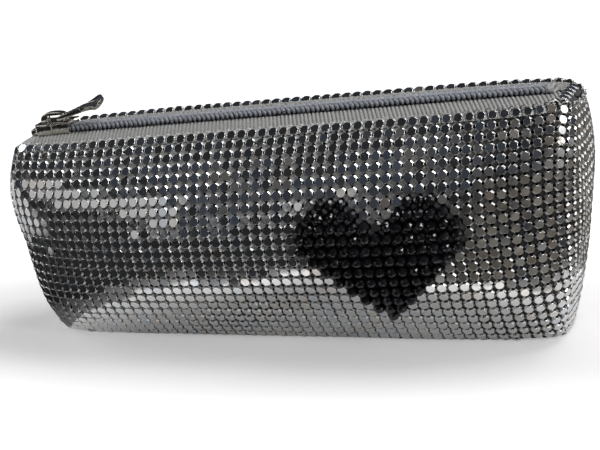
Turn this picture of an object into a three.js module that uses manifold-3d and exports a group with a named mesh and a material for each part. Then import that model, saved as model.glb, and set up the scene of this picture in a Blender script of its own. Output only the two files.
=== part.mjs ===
// Cosmetic bag of metal mesh with a zipped mouth and a heart of faceted crystals.
// Millimetres, +Z up, +X along the zipper, front towards -Y, origin at the middle of the base.

import * as THREE from 'three';
import { mergeVertices } from 'three/addons/utils/BufferGeometryUtils.js';
import loadManifold from 'manifold-3d';

const manifold = await loadManifold();
manifold.setup();

// Body of the bag: half depth and half length at the base and at the rim of the mouth.
const RIM_HEIGHT = 64.5;
const RIM_HALF_DEPTH = 14.5;
const RIM_HALF_LENGTH = 87;
const RIM_RISE = 4.3; // the fuller right end stands this much above the middle
const BASE_HALF_DEPTH = 11;
const BASE_HALF_LENGTH = 79.5;
const SHOULDER_OUT = 22.3; // how far the wall leaves the rim outwards and downwards
const SHOULDER_DOWN = 20.2;
const BELLY_OUT = 19; // how far the wall leaves the base outwards and upwards
const BELLY_UP = 17.5;
const END_SHOULDER_OUT = 3.5; // the same for the two ends
const END_SHOULDER_DOWN = 22.5;
const END_BELLY_OUT = 4;
const END_BELLY_UP = 15;
const CORNER_POWER = 5; // how blunt the ends are in plan, at the rim and the base
const BELLY_POWER = 3.2; // the same at half height, where they are rounder
const LEFT_SAG = 4; // the soft corners of the mouth hang down by this much
const RIGHT_SAG = 2.6;
const SAG_LENGTH = 6.5;
const BACK_RISE = 1.2; // the back of the rim stands above the front, outside the flat of the tape
const BACK_RISE_MARGIN = 0.6;
const BACK_RISE_POWER = 8;
const FOLD_HEIGHT = 8; // the base turns up into the walls here
const FOLD_GAP = 0.3;
const SEAM_GAP = 0.3;

// Layers of the wall, from outside to inside.
const MESH_THICKNESS = 1;
const LINING_GAP = 0.6;
const LINING_THICKNESS = 0.8;
const SEAM_THICKNESS = 1.2;
const SEAM_WIDTH = 5;
const SEAM_CLEARANCE = 0.8;

// Zipper: the coil's mid height at the middle of the bag, the teeth and the tapes.
const CHAIN_HEIGHT = 66.3;
const CHAIN_HALF_WIDTH = 3;
const COIL_HEIGHT = 2.2;
const CORE_WIDTH = 1.1;
const TOOTH_PITCH = 1.5;
const TOOTH_ROOT = 0.6;
const TOOTH_TIP = 0.44;
const TOOTH_END_GAP = 0.6; // from a tooth's tip to the other coil's core
const TAPE_THICKNESS = 0.4;
const TAPE_GAP = 0.2;
const TAPE_EDGE = 0.7; // from the middle of the zipper to a tape's edge
const TAPE_FLAT = 5.4; // the tape is flat under the slider
const TAPE_TUCK = 2; // depth of tape sewn in behind the rim
const TAPE_END_MARGIN = 1.6;

// Slider and pull.
const SLIDER_SHUT_MARGIN = 12.5; // from the rim's end to the middle of the slider, bag shut
const SLIDER_OPEN_MARGIN = 14.5; // the same at the other end, bag open
const SLIDER_LENGTH = 11.3;
const SHOULDER_HALF_WIDTH = 4.7;
const TAIL_HALF_WIDTH = 3.95;
const FLANGE_THICKNESS = 0.55;
const TOP_PLATE = 1;
const BOTTOM_PLATE = 0.9;
const CHANNEL_CLEARANCE = 0.25;
const SLOT_CLEARANCE = 0.4;
const WEDGE_HALF_WIDTH = 1;
const WEDGE_LENGTH = 3.6;
const BRIDGE_LENGTH = 7.6;
const BRIDGE_WIDTH = 2.2;
const BRIDGE_BAR = 1.1;
const BRIDGE_SWELL = 1.2; // the bridge's foot at the open side is this much thicker
const EYE_RADIUS = 0.65;
const EYE_CLEARANCE = 0.25;
const PULL_LENGTH = 15.5;
const PULL_WIDTH = 4.6;
const PULL_NECK_WIDTH = 2.6;
const PULL_TIP_WIDTH = 6.4;
const PULL_TIP_ROUND = 2.2;
const PULL_THICKNESS = 1.3;
const PULL_ARM_WIDTH = 0.8;
const PULL_LIFT = THREE.MathUtils.degToRad(16);
const STOP_LENGTH = 2;
const STOP_WIDTH = 2.2;
const STOP_GAP = 0.3;

// Heart: crystals take the place of mesh discs, one to each disc.
const DISC_PITCH = 3.2;
const FIRST_ROW = 1.3; // from the rim to the first row of discs, along the wall
const HEART_CENTRE = 34.2;
const HEART_GAP = 0.3;
const SETTING_THICKNESS = 0.6;
const CRYSTAL_HEIGHT = 1.5;
const CRYSTAL_TABLE_SHARE = 0.55; // width of the flat top over the width of the crystal
const CRYSTAL_FACET_SHARE = 0.42; // length of a side facet over the width of the crystal
// Number of each row of the heart below the rim, with its first and last column beside the middle.
const HEART_ROWS = [
  [7, 3, 5], [8, 2, 6], [9, 1, 7], [10, 0, 7], [11, 0, 7], [12, 0, 6],
  [13, 0, 5], [14, 0, 4], [15, 0, 3], [16, 0, 2], [17, 0, 1], [18, 0, 0],
];

const FINE_TURN = 28; // facets round half the bag
const COARSE_TURN = 20;
const WALL_STEPS = 8;
const LINING_STEPS = 6;
const BASE_STEPS = 3;
const TAPE_STEPS = 26;

const FRONT = -1;
const BACK = 1;

const meshMetal = { color: 0xb9bcc0, metalness: 1, roughness: 0.18 };
const liningCloth = { color: 0x2c2c30, metalness: 0, roughness: 0.8 };
const tapeCloth = { color: 0xb4b7bb, metalness: 0, roughness: 0.9 };
const coilNylon = { color: 0x8d939c, metalness: 0, roughness: 0.35 };
const nickel = { color: 0xc9c3b8, metalness: 1, roughness: 0.15 };
const blackCrystal = { color: 0x08080a, metalness: 0.2, roughness: 0.05 };

const sideProfile = new THREE.CubicBezierCurve(
  new THREE.Vector2(RIM_HALF_DEPTH, RIM_HEIGHT),
  new THREE.Vector2(RIM_HALF_DEPTH + SHOULDER_OUT, RIM_HEIGHT - SHOULDER_DOWN),
  new THREE.Vector2(BASE_HALF_DEPTH + BELLY_OUT, BELLY_UP),
  new THREE.Vector2(BASE_HALF_DEPTH, 0),
);
const endProfile = new THREE.CubicBezierCurve(
  new THREE.Vector2(RIM_HALF_LENGTH, RIM_HEIGHT),
  new THREE.Vector2(RIM_HALF_LENGTH + END_SHOULDER_OUT, RIM_HEIGHT - END_SHOULDER_DOWN),
  new THREE.Vector2(BASE_HALF_LENGTH + END_BELLY_OUT, END_BELLY_UP),
  new THREE.Vector2(BASE_HALF_LENGTH, 0),
);

// The first coordinate of a profile at a height; heights fall as the curve's parameter grows.
function reachAt(profile, height) {
  let low = 0;
  let high = 1;
  for (let step = 0; step < 40; step += 1) {
    const middle = (low + high) / 2;
    if (profile.getPoint(middle).y > height) low = middle;
    else high = middle;
  }
  return profile.getPoint(high).x;
}

// The stuffed bag rises towards its right end and its back rim, and its corners sag.
function lean(x, y, z) {
  const share = z / RIM_HEIGHT;
  const pastSag = Math.max(Math.abs(x) - RIM_HALF_LENGTH + SAG_LENGTH, 0) / SAG_LENGTH;
  const sag = (x < 0 ? LEFT_SAG : RIGHT_SAG) * pastSag ** 2;
  const backShare = THREE.MathUtils.smoothstep(y, TAPE_FLAT + BACK_RISE_MARGIN, RIM_HALF_DEPTH);
  const backRise = BACK_RISE * backShare * Math.min(share, 1) ** BACK_RISE_POWER;
  return new THREE.Vector3(x, y, z + share * ((RIM_RISE * x) / RIM_HALF_LENGTH - sag) + backRise);
}

const chainSlope = (CHAIN_HEIGHT * RIM_RISE) / (RIM_HEIGHT * RIM_HALF_LENGTH);

function power(value, exponent) {
  return Math.sign(value) * Math.abs(value) ** exponent;
}

// How blunt the ends are at a height.
function cornerPower(height) {
  const swell = Math.sin((Math.PI * height) / RIM_HEIGHT) ** 2;
  return THREE.MathUtils.lerp(CORNER_POWER, BELLY_POWER, swell);
}

// Depth over half depth, at a share of the way from the middle of the bag to its end.
function endRound(along, height) {
  const blunt = cornerPower(height);
  return (1 - along ** blunt) ** (1 / blunt);
}

// A point on the wall: turn runs once round the bag, inset is measured inwards from the outer face.
function wallPoint(turn, height, inset) {
  const angle = 2 * Math.PI * turn;
  const exponent = 2 / cornerPower(height);
  const x = (reachAt(endProfile, height) - inset) * power(Math.cos(angle), exponent);
  const y = (reachAt(sideProfile, height) - inset) * power(Math.sin(angle), exponent);
  return lean(x, y, height);
}

// One closed solid from points and triangles, turned so that its faces point out.
function solid(points, triangles) {
  let volume = 0;
  for (const [a, b, c] of triangles) {
    volume += points[a].dot(new THREE.Vector3().crossVectors(points[b], points[c]));
  }
  const outward = volume > 0 ? triangles : triangles.map(([a, b, c]) => [a, c, b]);
  const geometry = new THREE.BufferGeometry().setFromPoints(points);
  geometry.setIndex(outward.flat());
  return geometry;
}

// A sheet with thickness between two grids of points, closed at its four edges.
function closedSheet(outer, inner, across, down) {
  const points = [];
  for (const face of [outer, inner]) {
    for (let j = 0; j <= down; j += 1) {
      for (let i = 0; i <= across; i += 1) points.push(face(i / across, j / down));
    }
  }
  const at = (face, i, j) => face * (across + 1) * (down + 1) + j * (across + 1) + i;
  const triangles = [];
  const quad = (a, b, c, d) => triangles.push([a, b, c], [a, c, d]);
  for (let j = 0; j < down; j += 1) {
    for (let i = 0; i < across; i += 1) {
      quad(at(0, i, j), at(0, i + 1, j), at(0, i + 1, j + 1), at(0, i, j + 1));
      quad(at(1, i, j), at(1, i, j + 1), at(1, i + 1, j + 1), at(1, i + 1, j));
    }
  }
  for (let i = 0; i < across; i += 1) {
    quad(at(0, i + 1, 0), at(0, i, 0), at(1, i, 0), at(1, i + 1, 0));
    quad(at(0, i, down), at(0, i + 1, down), at(1, i + 1, down), at(1, i, down));
  }
  for (let j = 0; j < down; j += 1) {
    quad(at(0, 0, j), at(0, 0, j + 1), at(1, 0, j + 1), at(1, 0, j));
    quad(at(0, across, j + 1), at(0, across, j), at(1, across, j), at(1, across, j + 1));
  }
  return solid(points, triangles);
}

// Half of the bag's wall, from the rim down to the fold, between two insets.
function wallPanel(side, rimDrop, outerInset, thickness, turnSteps, steps) {
  const top = RIM_HEIGHT - rimDrop;
  const bottom = FOLD_HEIGHT + FOLD_GAP / 2;
  const face = (inset) => (u, v) => {
    const point = wallPoint(side * u / 2, THREE.MathUtils.lerp(top, bottom, v), inset);
    point.y += (side * SEAM_GAP) / 2;
    return point;
  };
  return closedSheet(face(outerInset), face(outerInset + thickness), turnSteps, steps);
}

// The bottom of the bag: a shallow bowl from the fold down to a flat base.
function baseBowl(outerInset, floor, thickness, turnSteps) {
  const top = FOLD_HEIGHT - FOLD_GAP / 2;
  const points = [];
  const ringCount = 2 * turnSteps;
  const rings = [];
  const addRing = (height, inset) => {
    rings.push(points.length);
    for (let i = 0; i < ringCount; i += 1) points.push(wallPoint(i / ringCount, height, inset));
  };
  for (let j = 0; j <= BASE_STEPS; j += 1) {
    addRing(THREE.MathUtils.lerp(floor, top, j / BASE_STEPS), outerInset);
  }
  for (let j = BASE_STEPS; j >= 0; j -= 1) {
    addRing(THREE.MathUtils.lerp(floor + thickness, top, j / BASE_STEPS), outerInset + thickness);
  }
  const under = points.push(new THREE.Vector3(0, 0, floor)) - 1;
  const over = points.push(new THREE.Vector3(0, 0, floor + thickness)) - 1;
  const triangles = [];
  for (let i = 0; i < ringCount; i += 1) {
    const next = (i + 1) % ringCount;
    for (let k = 0; k + 1 < rings.length; k += 1) {
      const [lower, upper] = [rings[k], rings[k + 1]];
      triangles.push([lower + i, lower + next, upper + next], [lower + i, upper + next, upper + i]);
    }
    triangles.push([under, rings[0] + next, rings[0] + i]);
    triangles.push([over, rings.at(-1) + i, rings.at(-1) + next]);
  }
  return solid(points, triangles);
}

// The seam allowance stands inwards from the lining, along the end of the bag.
function sideSeam(end) {
  const inset = MESH_THICKNESS + LINING_GAP + LINING_THICKNESS + SEAM_CLEARANCE;
  const bottom = FOLD_HEIGHT;
  const top = RIM_HEIGHT - TAPE_TUCK - SEAM_WIDTH;
  const face = (y) => (u, v) => {
    const height = THREE.MathUtils.lerp(bottom, top, v);
    return lean(end * (reachAt(endProfile, height) - inset - u * SEAM_WIDTH), y, height);
  };
  return closedSheet(face(-SEAM_THICKNESS / 2), face(SEAM_THICKNESS / 2), 1, WALL_STEPS);
}

// One coil of the zipper: a core with teeth that reach past the middle, between the other's teeth.
const sliderStart = SLIDER_SHUT_MARGIN - RIM_HALF_LENGTH;
const wedgeEnd = sliderStart - SLIDER_LENGTH / 2 + WEDGE_LENGTH;
const coilStart = wedgeEnd + STOP_GAP;
const coilEnd = RIM_HALF_LENGTH - SLIDER_OPEN_MARGIN + SLIDER_LENGTH / 2;

function coil(side) {
  const coreInside = CHAIN_HALF_WIDTH - CORE_WIDTH;
  const tip = -(coreInside - TOOTH_END_GAP);
  const first = side === FRONT ? TOOTH_PITCH / 4 : (3 * TOOTH_PITCH) / 4;
  const count = Math.floor((coilEnd - coilStart) / TOOTH_PITCH);
  const outline = new THREE.Shape();
  outline.moveTo(coilStart, side * CHAIN_HALF_WIDTH);
  outline.lineTo(coilStart, side * coreInside);
  for (let k = 0; k < count; k += 1) {
    const middle = coilStart + first + k * TOOTH_PITCH;
    outline.lineTo(middle - TOOTH_ROOT / 2, side * coreInside);
    outline.lineTo(middle - TOOTH_TIP / 2, side * tip);
    outline.lineTo(middle + TOOTH_TIP / 2, side * tip);
    outline.lineTo(middle + TOOTH_ROOT / 2, side * coreInside);
  }
  outline.lineTo(coilEnd, side * coreInside);
  outline.lineTo(coilEnd, side * CHAIN_HALF_WIDTH);
  return slab(outline, -COIL_HEIGHT / 2, COIL_HEIGHT / 2);
}

// An outline in plan, filled from one height to another.
function slab(outline, bottom, top) {
  const geometry = new THREE.ExtrudeGeometry(outline, {
    depth: top - bottom, bevelEnabled: false, curveSegments: 6,
  });
  return plain(geometry.translate(0, 0, bottom));
}

// Positions alone, with shared vertices merged.
function plain(geometry) {
  const bare = geometry.index ? geometry.toNonIndexed() : geometry.clone();
  for (const name of Object.keys(bare.attributes)) {
    if (name !== 'position') bare.deleteAttribute(name);
  }
  return mergeVertices(bare, 1e-4);
}

// A zipper tape: flat beside the coil, then out to the rim and tucked in behind the mesh.
const tapeTop = CHAIN_HEIGHT - COIL_HEIGHT / 2 - TAPE_GAP;

function zipTape(side) {
  const halfLength = RIM_HALF_LENGTH - TAPE_END_MARGIN;
  const inset = MESH_THICKNESS + TAPE_GAP;
  const spread = WEDGE_HALF_WIDTH + TOOTH_END_GAP;
  const reach = (x, height) => {
    const along = Math.abs(x) / (reachAt(endProfile, height) - inset);
    return (reachAt(sideProfile, height) - inset) * endRound(along, height);
  };
  const station = (u, v) => {
    const x = THREE.MathUtils.lerp(-halfLength, halfLength, u);
    const atRim = reach(x, RIM_HEIGHT);
    const tucked = RIM_HEIGHT - TAPE_TUCK;
    const edge = x < coilStart ? spread : TAPE_EDGE;
    const flat = Math.min(TAPE_FLAT, atRim - TAPE_THICKNESS);
    const stations = [[edge, tapeTop], [flat, tapeTop], [atRim, RIM_HEIGHT], [reach(x, tucked), tucked]];
    return [x, ...stations[Math.round(v * (stations.length - 1))]];
  };
  const outer = (u, v) => {
    const [x, y, z] = station(u, v);
    return lean(x, side * y, z);
  };
  const inner = (u, v) => {
    const [x, y, z] = station(u, v);
    const inwards = v > 0.5 ? TAPE_THICKNESS / 2 : 0;
    return lean(x, side * (y - inwards), z - TAPE_THICKNESS);
  };
  return closedSheet(outer, inner, TAPE_STEPS, 3);
}

// Cutting and joining of closed meshes.
function toManifold(geometry) {
  const mesh = new manifold.Mesh({
    numProp: 3,
    vertProperties: new Float32Array(geometry.attributes.position.array),
    triVerts: new Uint32Array(geometry.index.array),
  });
  return new manifold.Manifold(mesh);
}

function fromManifold(body) {
  const mesh = body.getMesh();
  const geometry = new THREE.BufferGeometry();
  geometry.setAttribute('position', new THREE.BufferAttribute(mesh.vertProperties, 3));
  geometry.setIndex(new THREE.BufferAttribute(mesh.triVerts, 1));
  return geometry;
}

function joined(...geometries) {
  return fromManifold(geometries.map(toManifold).reduce((whole, next) => whole.add(next)));
}

function cut(geometry, tool) {
  return fromManifold(toManifold(geometry).subtract(toManifold(tool)));
}

// Heights in the slider, measured from the middle of the coil.
const channelTop = COIL_HEIGHT / 2 + CHANNEL_CLEARANCE;
const plateTop = channelTop + TOP_PLATE;
const tapeUpper = -COIL_HEIGHT / 2 - TAPE_GAP;
const flangeBottom = tapeUpper + SLOT_CLEARANCE;
const bottomPlateTop = tapeUpper - TAPE_THICKNESS - CHANNEL_CLEARANCE;
const plateBottom = bottomPlateTop - BOTTOM_PLATE;
const eyeHeight = plateTop + EYE_CLEARANCE + EYE_RADIUS;
const eyeX = BRIDGE_LENGTH / 2 - BRIDGE_BAR - EYE_CLEARANCE - EYE_RADIUS;

// The slider in plan: wide shoulders at the open side, narrowing to the tail.
function sliderOutline(inset) {
  const shoulder = SHOULDER_HALF_WIDTH - inset;
  const tail = TAIL_HALF_WIDTH - inset;
  const half = SLIDER_LENGTH / 2;
  const round = FLANGE_THICKNESS * 2;
  const outline = new THREE.Shape();
  outline.moveTo(-half, 0);
  outline.lineTo(-half, shoulder - round);
  outline.quadraticCurveTo(-half, shoulder, -half + round, shoulder);
  outline.lineTo(-half + WEDGE_LENGTH, shoulder);
  outline.quadraticCurveTo(0, shoulder, 0, (shoulder + tail) / 2);
  outline.quadraticCurveTo(0, tail, half - WEDGE_LENGTH, tail);
  outline.lineTo(half, tail);
  outline.lineTo(half, -tail);
  outline.lineTo(half - WEDGE_LENGTH, -tail);
  outline.quadraticCurveTo(0, -tail, 0, -(shoulder + tail) / 2);
  outline.quadraticCurveTo(0, -shoulder, -half + WEDGE_LENGTH, -shoulder);
  outline.lineTo(-half + round, -shoulder);
  outline.quadraticCurveTo(-half, -shoulder, -half, -shoulder + round);
  return outline;
}

// The channel runs through the slider from end to end, inside the flanges.
function channelOutline() {
  const shoulder = SHOULDER_HALF_WIDTH - FLANGE_THICKNESS;
  const tail = TAIL_HALF_WIDTH - FLANGE_THICKNESS;
  const half = SLIDER_LENGTH / 2 + STOP_GAP;
  return new THREE.Shape([
    [-half, -shoulder], [-SLIDER_LENGTH / 2 + WEDGE_LENGTH, -shoulder], [0, -tail], [half, -tail],
    [half, tail], [0, tail], [-SLIDER_LENGTH / 2 + WEDGE_LENGTH, shoulder], [-half, shoulder],
  ].map(([x, y]) => new THREE.Vector2(x, y)));
}

function wedgeOutline() {
  const front = -SLIDER_LENGTH / 2;
  const back = front + WEDGE_LENGTH;
  return new THREE.Shape([
    [front, -WEDGE_HALF_WIDTH / 2], [(front + back) / 2, -WEDGE_HALF_WIDTH], [back, 0],
    [(front + back) / 2, WEDGE_HALF_WIDTH], [front, WEDGE_HALF_WIDTH / 2],
  ].map(([x, y]) => new THREE.Vector2(x, y)));
}

// An outline in the X-Z plane, as thick as the width across the zipper.
function upright(outline, width) {
  const geometry = new THREE.ExtrudeGeometry(outline, {
    depth: width, bevelEnabled: false, curveSegments: 6,
  });
  return plain(geometry.translate(0, 0, -width / 2).rotateX(Math.PI / 2));
}

function bridge() {
  const half = BRIDGE_LENGTH / 2;
  const gap = 2 * (EYE_RADIUS + EYE_CLEARANCE);
  const top = plateTop + gap + BRIDGE_BAR;
  const inside = half - BRIDGE_BAR;
  const foot = plateTop - TOP_PLATE / 2;
  const outline = new THREE.Shape();
  outline.moveTo(-half - BRIDGE_SWELL, foot);
  outline.lineTo(-half - BRIDGE_SWELL, plateTop);
  outline.quadraticCurveTo(-half - BRIDGE_SWELL, top, -BRIDGE_BAR, top);
  outline.lineTo(0, top);
  outline.quadraticCurveTo(half, top, half, plateTop + BRIDGE_BAR);
  outline.lineTo(half, foot);
  outline.lineTo(inside, foot);
  outline.lineTo(inside, plateTop + gap);
  outline.lineTo(-inside, plateTop + gap);
  outline.lineTo(-inside, foot);
  return upright(outline, BRIDGE_WIDTH);
}

function sliderBody() {
  const shell = cut(
    slab(sliderOutline(0), flangeBottom, plateTop),
    slab(channelOutline(), flangeBottom - STOP_GAP, channelTop),
  );
  const overlap = Math.min(TOP_PLATE, BOTTOM_PLATE) / 2;
  return joined(
    shell,
    slab(wedgeOutline(), bottomPlateTop - overlap, channelTop + overlap),
    slab(sliderOutline(0), plateBottom, bottomPlateTop),
    bridge(),
  );
}

// The pull lies along +X from the middle of its eye; two arms pass the bridge on either side.
function pullTab() {
  const bridgeReach = eyeX + BRIDGE_LENGTH / 2 + BRIDGE_SWELL;
  const clearOfBridge = Math.hypot(bridgeReach, 2 * EYE_RADIUS + BRIDGE_BAR);
  const plateStart = clearOfBridge + EYE_CLEARANCE;
  const rod = plain(new THREE.CylinderGeometry(EYE_RADIUS, EYE_RADIUS, PULL_WIDTH, 12));
  const plate = new THREE.Shape();
  const neckX = (plateStart + PULL_LENGTH) / 2;
  const tipX = PULL_LENGTH - PULL_TIP_ROUND;
  plate.moveTo(plateStart, -PULL_WIDTH / 2);
  plate.quadraticCurveTo(neckX, -PULL_NECK_WIDTH / 2, tipX, -PULL_TIP_WIDTH / 2);
  plate.quadraticCurveTo(PULL_LENGTH, -PULL_TIP_WIDTH / 2, PULL_LENGTH, 0);
  plate.quadraticCurveTo(PULL_LENGTH, PULL_TIP_WIDTH / 2, tipX, PULL_TIP_WIDTH / 2);
  plate.quadraticCurveTo(neckX, PULL_NECK_WIDTH / 2, plateStart, PULL_WIDTH / 2);
  const arm = (side) => {
    const outside = (side * PULL_WIDTH) / 2;
    const inside = outside - side * PULL_ARM_WIDTH;
    return slab(new THREE.Shape([
      [0, inside], [plateStart + PULL_ARM_WIDTH, inside],
      [plateStart + PULL_ARM_WIDTH, outside], [0, outside],
    ].map(([x, y]) => new THREE.Vector2(x, y))), -PULL_THICKNESS / 2, PULL_THICKNESS / 2);
  };
  return joined(
    rod, arm(FRONT), arm(BACK), slab(plate, -PULL_THICKNESS / 2, PULL_THICKNESS / 2),
  );
}

// A clip pressed on the coil: a rounded block standing on the tape.
function stopClip(width) {
  const half = STOP_LENGTH / 2;
  const outline = new THREE.Shape();
  outline.moveTo(-half, tapeUpper + TAPE_GAP);
  outline.lineTo(half, tapeUpper + TAPE_GAP);
  outline.lineTo(half, 0);
  outline.absarc(0, 0, half, 0, Math.PI);
  return upright(outline, width);
}

// A point over the front wall: x along the bag, down along the wall from the rim, lift off its face.
const wallLength = sideProfile.getLength();

function frontPoint(x, down, lift) {
  const place = (px, pd) => {
    const { x: depth, y: height } = sideProfile.getPointAt(pd / wallLength);
    const along = Math.abs(px) / reachAt(endProfile, height);
    return lean(px, -depth * endRound(along, height) - SEAM_GAP / 2, height);
  };
  const small = DISC_PITCH / 20;
  const alongX = place(x + small, down).sub(place(x - small, down));
  const alongWall = place(x, down + small).sub(place(x, down - small));
  const normal = alongWall.cross(alongX).normalize();
  return place(x, down).addScaledVector(normal, lift);
}

// Crystals side by side on one thin setting; each has eight sides, a flat top and four corners between.
function heartCrystals() {
  const points = [];
  const known = new Map();
  const triangles = [];
  const vertex = (column, row, lift) => {
    const key = [column, row, lift].map((value) => value.toFixed(4)).join(' ');
    if (!known.has(key)) {
      const x = HEART_CENTRE + column * DISC_PITCH;
      const down = FIRST_ROW + row * DISC_PITCH;
      known.set(key, points.push(frontPoint(x, down, lift)) - 1);
    }
    return known.get(key);
  };
  const low = HEART_GAP;
  const girdle = HEART_GAP + SETTING_THICKNESS;
  const table = girdle + CRYSTAL_HEIGHT;
  const facet = CRYSTAL_FACET_SHARE / 2;
  const corners = [[-0.5, -0.5], [0.5, -0.5], [0.5, 0.5], [-0.5, 0.5]];
  const eight = [
    [-facet, -0.5], [facet, -0.5], [0.5, -facet], [0.5, facet],
    [facet, 0.5], [-facet, 0.5], [-0.5, facet], [-0.5, -facet],
  ];
  const cells = new Set();
  for (const [row, first, last] of HEART_ROWS) {
    for (let column = first; column <= last; column += 1) {
      cells.add(`${column} ${row}`);
      cells.add(`${-column} ${row}`);
    }
  }
  for (const cell of cells) {
    const [column, row] = cell.split(' ').map(Number);
    const at = ([dx, dy], scale, lift) => vertex(column + dx * scale, row + dy * scale, lift);
    const rim = eight.map((place) => at(place, 1, girdle));
    const top = eight.map((place) => at(place, CRYSTAL_TABLE_SHARE, table));
    const corner = corners.map((place) => at(place, 1, girdle));
    const under = corners.map((place) => at(place, 1, low));
    for (let k = 0; k < 8; k += 1) {
      const next = (k + 1) % 8;
      triangles.push([rim[k], rim[next], top[next]], [rim[k], top[next], top[k]]);
    }
    for (let k = 1; k < 7; k += 1) triangles.push([top[0], top[k], top[k + 1]]);
    for (let k = 0; k < 4; k += 1) {
      const [before, after] = [rim[(2 * k + 7) % 8], rim[2 * k]];
      triangles.push([corner[k], after, before]);
    }
    triangles.push([under[0], under[2], under[1]], [under[0], under[3], under[2]]);
    const beside = [[0, -1], [1, 0], [0, 1], [-1, 0]];
    beside.forEach(([dx, dy], k) => {
      if (cells.has(`${column + dx} ${row + dy}`)) return;
      const next = (k + 1) % 4;
      const edge = [corner[k], rim[2 * k], rim[2 * k + 1], corner[next]];
      triangles.push([under[k], under[next], edge[3]]);
      for (let m = 0; m < 3; m += 1) triangles.push([under[k], edge[m + 1], edge[m]]);
    });
  }
  return solid(points, triangles);
}

function piece(name, geometry, look) {
  const mesh = new THREE.Mesh(geometry, new THREE.MeshStandardMaterial(look));
  mesh.name = name;
  return mesh;
}

const bag = new THREE.Group();
const liningInset = MESH_THICKNESS + LINING_GAP;
const liningDrop = TAPE_TUCK + LINING_GAP + TAPE_THICKNESS;

for (const [name, side] of [['front', FRONT], ['back', BACK]]) {
  bag.add(piece(
    `${name}_mesh_panel`,
    wallPanel(side, 0, 0, MESH_THICKNESS, FINE_TURN, WALL_STEPS),
    meshMetal,
  ));
  bag.add(piece(
    `${name}_lining`,
    wallPanel(side, liningDrop, liningInset, LINING_THICKNESS, COARSE_TURN, LINING_STEPS),
    liningCloth,
  ));
  bag.add(piece(`${name}_zip_tape`, zipTape(side), tapeCloth));
}
bag.add(piece('base_mesh', baseBowl(0, 0, MESH_THICKNESS, FINE_TURN), meshMetal));
bag.add(piece('base_lining', baseBowl(liningInset, liningInset, LINING_THICKNESS, COARSE_TURN), liningCloth));
bag.add(piece('left_side_seam', sideSeam(-1), liningCloth));
bag.add(piece('right_side_seam', sideSeam(1), liningCloth));
bag.add(piece('heart_crystals', heartCrystals(), blackCrystal));

// The zipper lies along the rising rim.
const zipper = new THREE.Group();
zipper.position.z = CHAIN_HEIGHT;
zipper.rotation.y = -Math.atan(chainSlope);
bag.add(zipper);

const topStopX = sliderStart - SLIDER_LENGTH / 2 - STOP_GAP - STOP_LENGTH / 2;
for (const [name, side] of [['front', FRONT], ['back', BACK]]) {
  zipper.add(piece(`${name}_coil`, coil(side), coilNylon));
  const topStop = piece(`${name}_top_stop`, stopClip(STOP_WIDTH), nickel);
  topStop.position.set(topStopX, side * (CHAIN_HALF_WIDTH - STOP_WIDTH / 2 + STOP_GAP), 0);
  zipper.add(topStop);
}
// The coils end in a sewn bar.
const bottomStop = piece('bottom_stop', stopClip(2 * CHAIN_HALF_WIDTH), tapeCloth);
bottomStop.position.x = coilEnd + STOP_GAP + STOP_LENGTH / 2;
zipper.add(bottomStop);

const slider = new THREE.Group();
slider.position.x = sliderStart;
zipper.add(slider);
slider.add(piece('slider_body', sliderBody(), nickel));
const pull = piece('pull_tab', pullTab(), nickel);
pull.position.set(eyeX, 0, eyeHeight);
pull.rotation.y = -PULL_LIFT;
slider.add(pull);

export default bag;
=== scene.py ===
"""Cosmetic bag of metal mesh, with a zipped mouth and a heart of black crystals on its front.

Metres, +Z up. +X runs along the zipper, the front faces -Y and the base stands on z = 0.
"""

import logging
import math
from collections.abc import Callable
from dataclasses import dataclass
from enum import Enum
from functools import cached_property, partial

import bpy
import numpy as np
from mathutils import Matrix, Vector


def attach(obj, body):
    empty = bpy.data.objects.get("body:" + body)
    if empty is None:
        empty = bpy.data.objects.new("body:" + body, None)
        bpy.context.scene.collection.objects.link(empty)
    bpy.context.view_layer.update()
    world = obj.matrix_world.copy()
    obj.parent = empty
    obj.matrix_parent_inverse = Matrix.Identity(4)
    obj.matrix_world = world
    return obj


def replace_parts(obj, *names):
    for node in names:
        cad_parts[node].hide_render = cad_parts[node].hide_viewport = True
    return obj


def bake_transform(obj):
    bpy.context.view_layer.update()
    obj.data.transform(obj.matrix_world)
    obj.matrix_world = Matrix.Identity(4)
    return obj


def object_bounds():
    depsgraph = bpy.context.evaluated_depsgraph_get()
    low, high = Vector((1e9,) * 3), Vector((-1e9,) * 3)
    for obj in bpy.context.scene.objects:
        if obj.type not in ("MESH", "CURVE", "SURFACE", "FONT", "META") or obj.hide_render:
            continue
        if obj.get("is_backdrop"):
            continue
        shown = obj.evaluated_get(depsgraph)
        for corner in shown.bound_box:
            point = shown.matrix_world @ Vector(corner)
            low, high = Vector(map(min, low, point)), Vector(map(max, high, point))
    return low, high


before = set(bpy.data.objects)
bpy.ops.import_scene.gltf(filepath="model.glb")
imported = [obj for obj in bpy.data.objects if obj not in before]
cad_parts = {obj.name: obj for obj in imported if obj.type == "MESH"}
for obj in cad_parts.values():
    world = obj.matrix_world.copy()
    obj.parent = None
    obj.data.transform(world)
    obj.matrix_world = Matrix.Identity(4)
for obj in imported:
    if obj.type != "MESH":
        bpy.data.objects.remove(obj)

CAD_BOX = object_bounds()
LOG = logging.getLogger("cosmetic_bag")
MM = 0.001
WELD = 0.005 * MM
OCTAGON = 8
OCTAGON_TURN = math.pi / OCTAGON
CURVE_SAMPLES = 300
OUTLINE_SAMPLES = 60
# Least part of a face's normal along a direction for the face to point that way, roughly and exactly.
ROUGHLY = 0.9
EXACTLY = 0.99
# Degrees between two faces: up to the first they are one flat, past the second their edge is rounded off,
# and past the others it is shaded sharp.
FLAT_TURN = 2
EDGE_TURN = 25
METAL_SHARP = 35
CLOTH_SHARP = 50
# Blender's wave texture repeats once in this length of its scaled place.
WAVE_LENGTH = 2 * math.pi / 20

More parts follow.
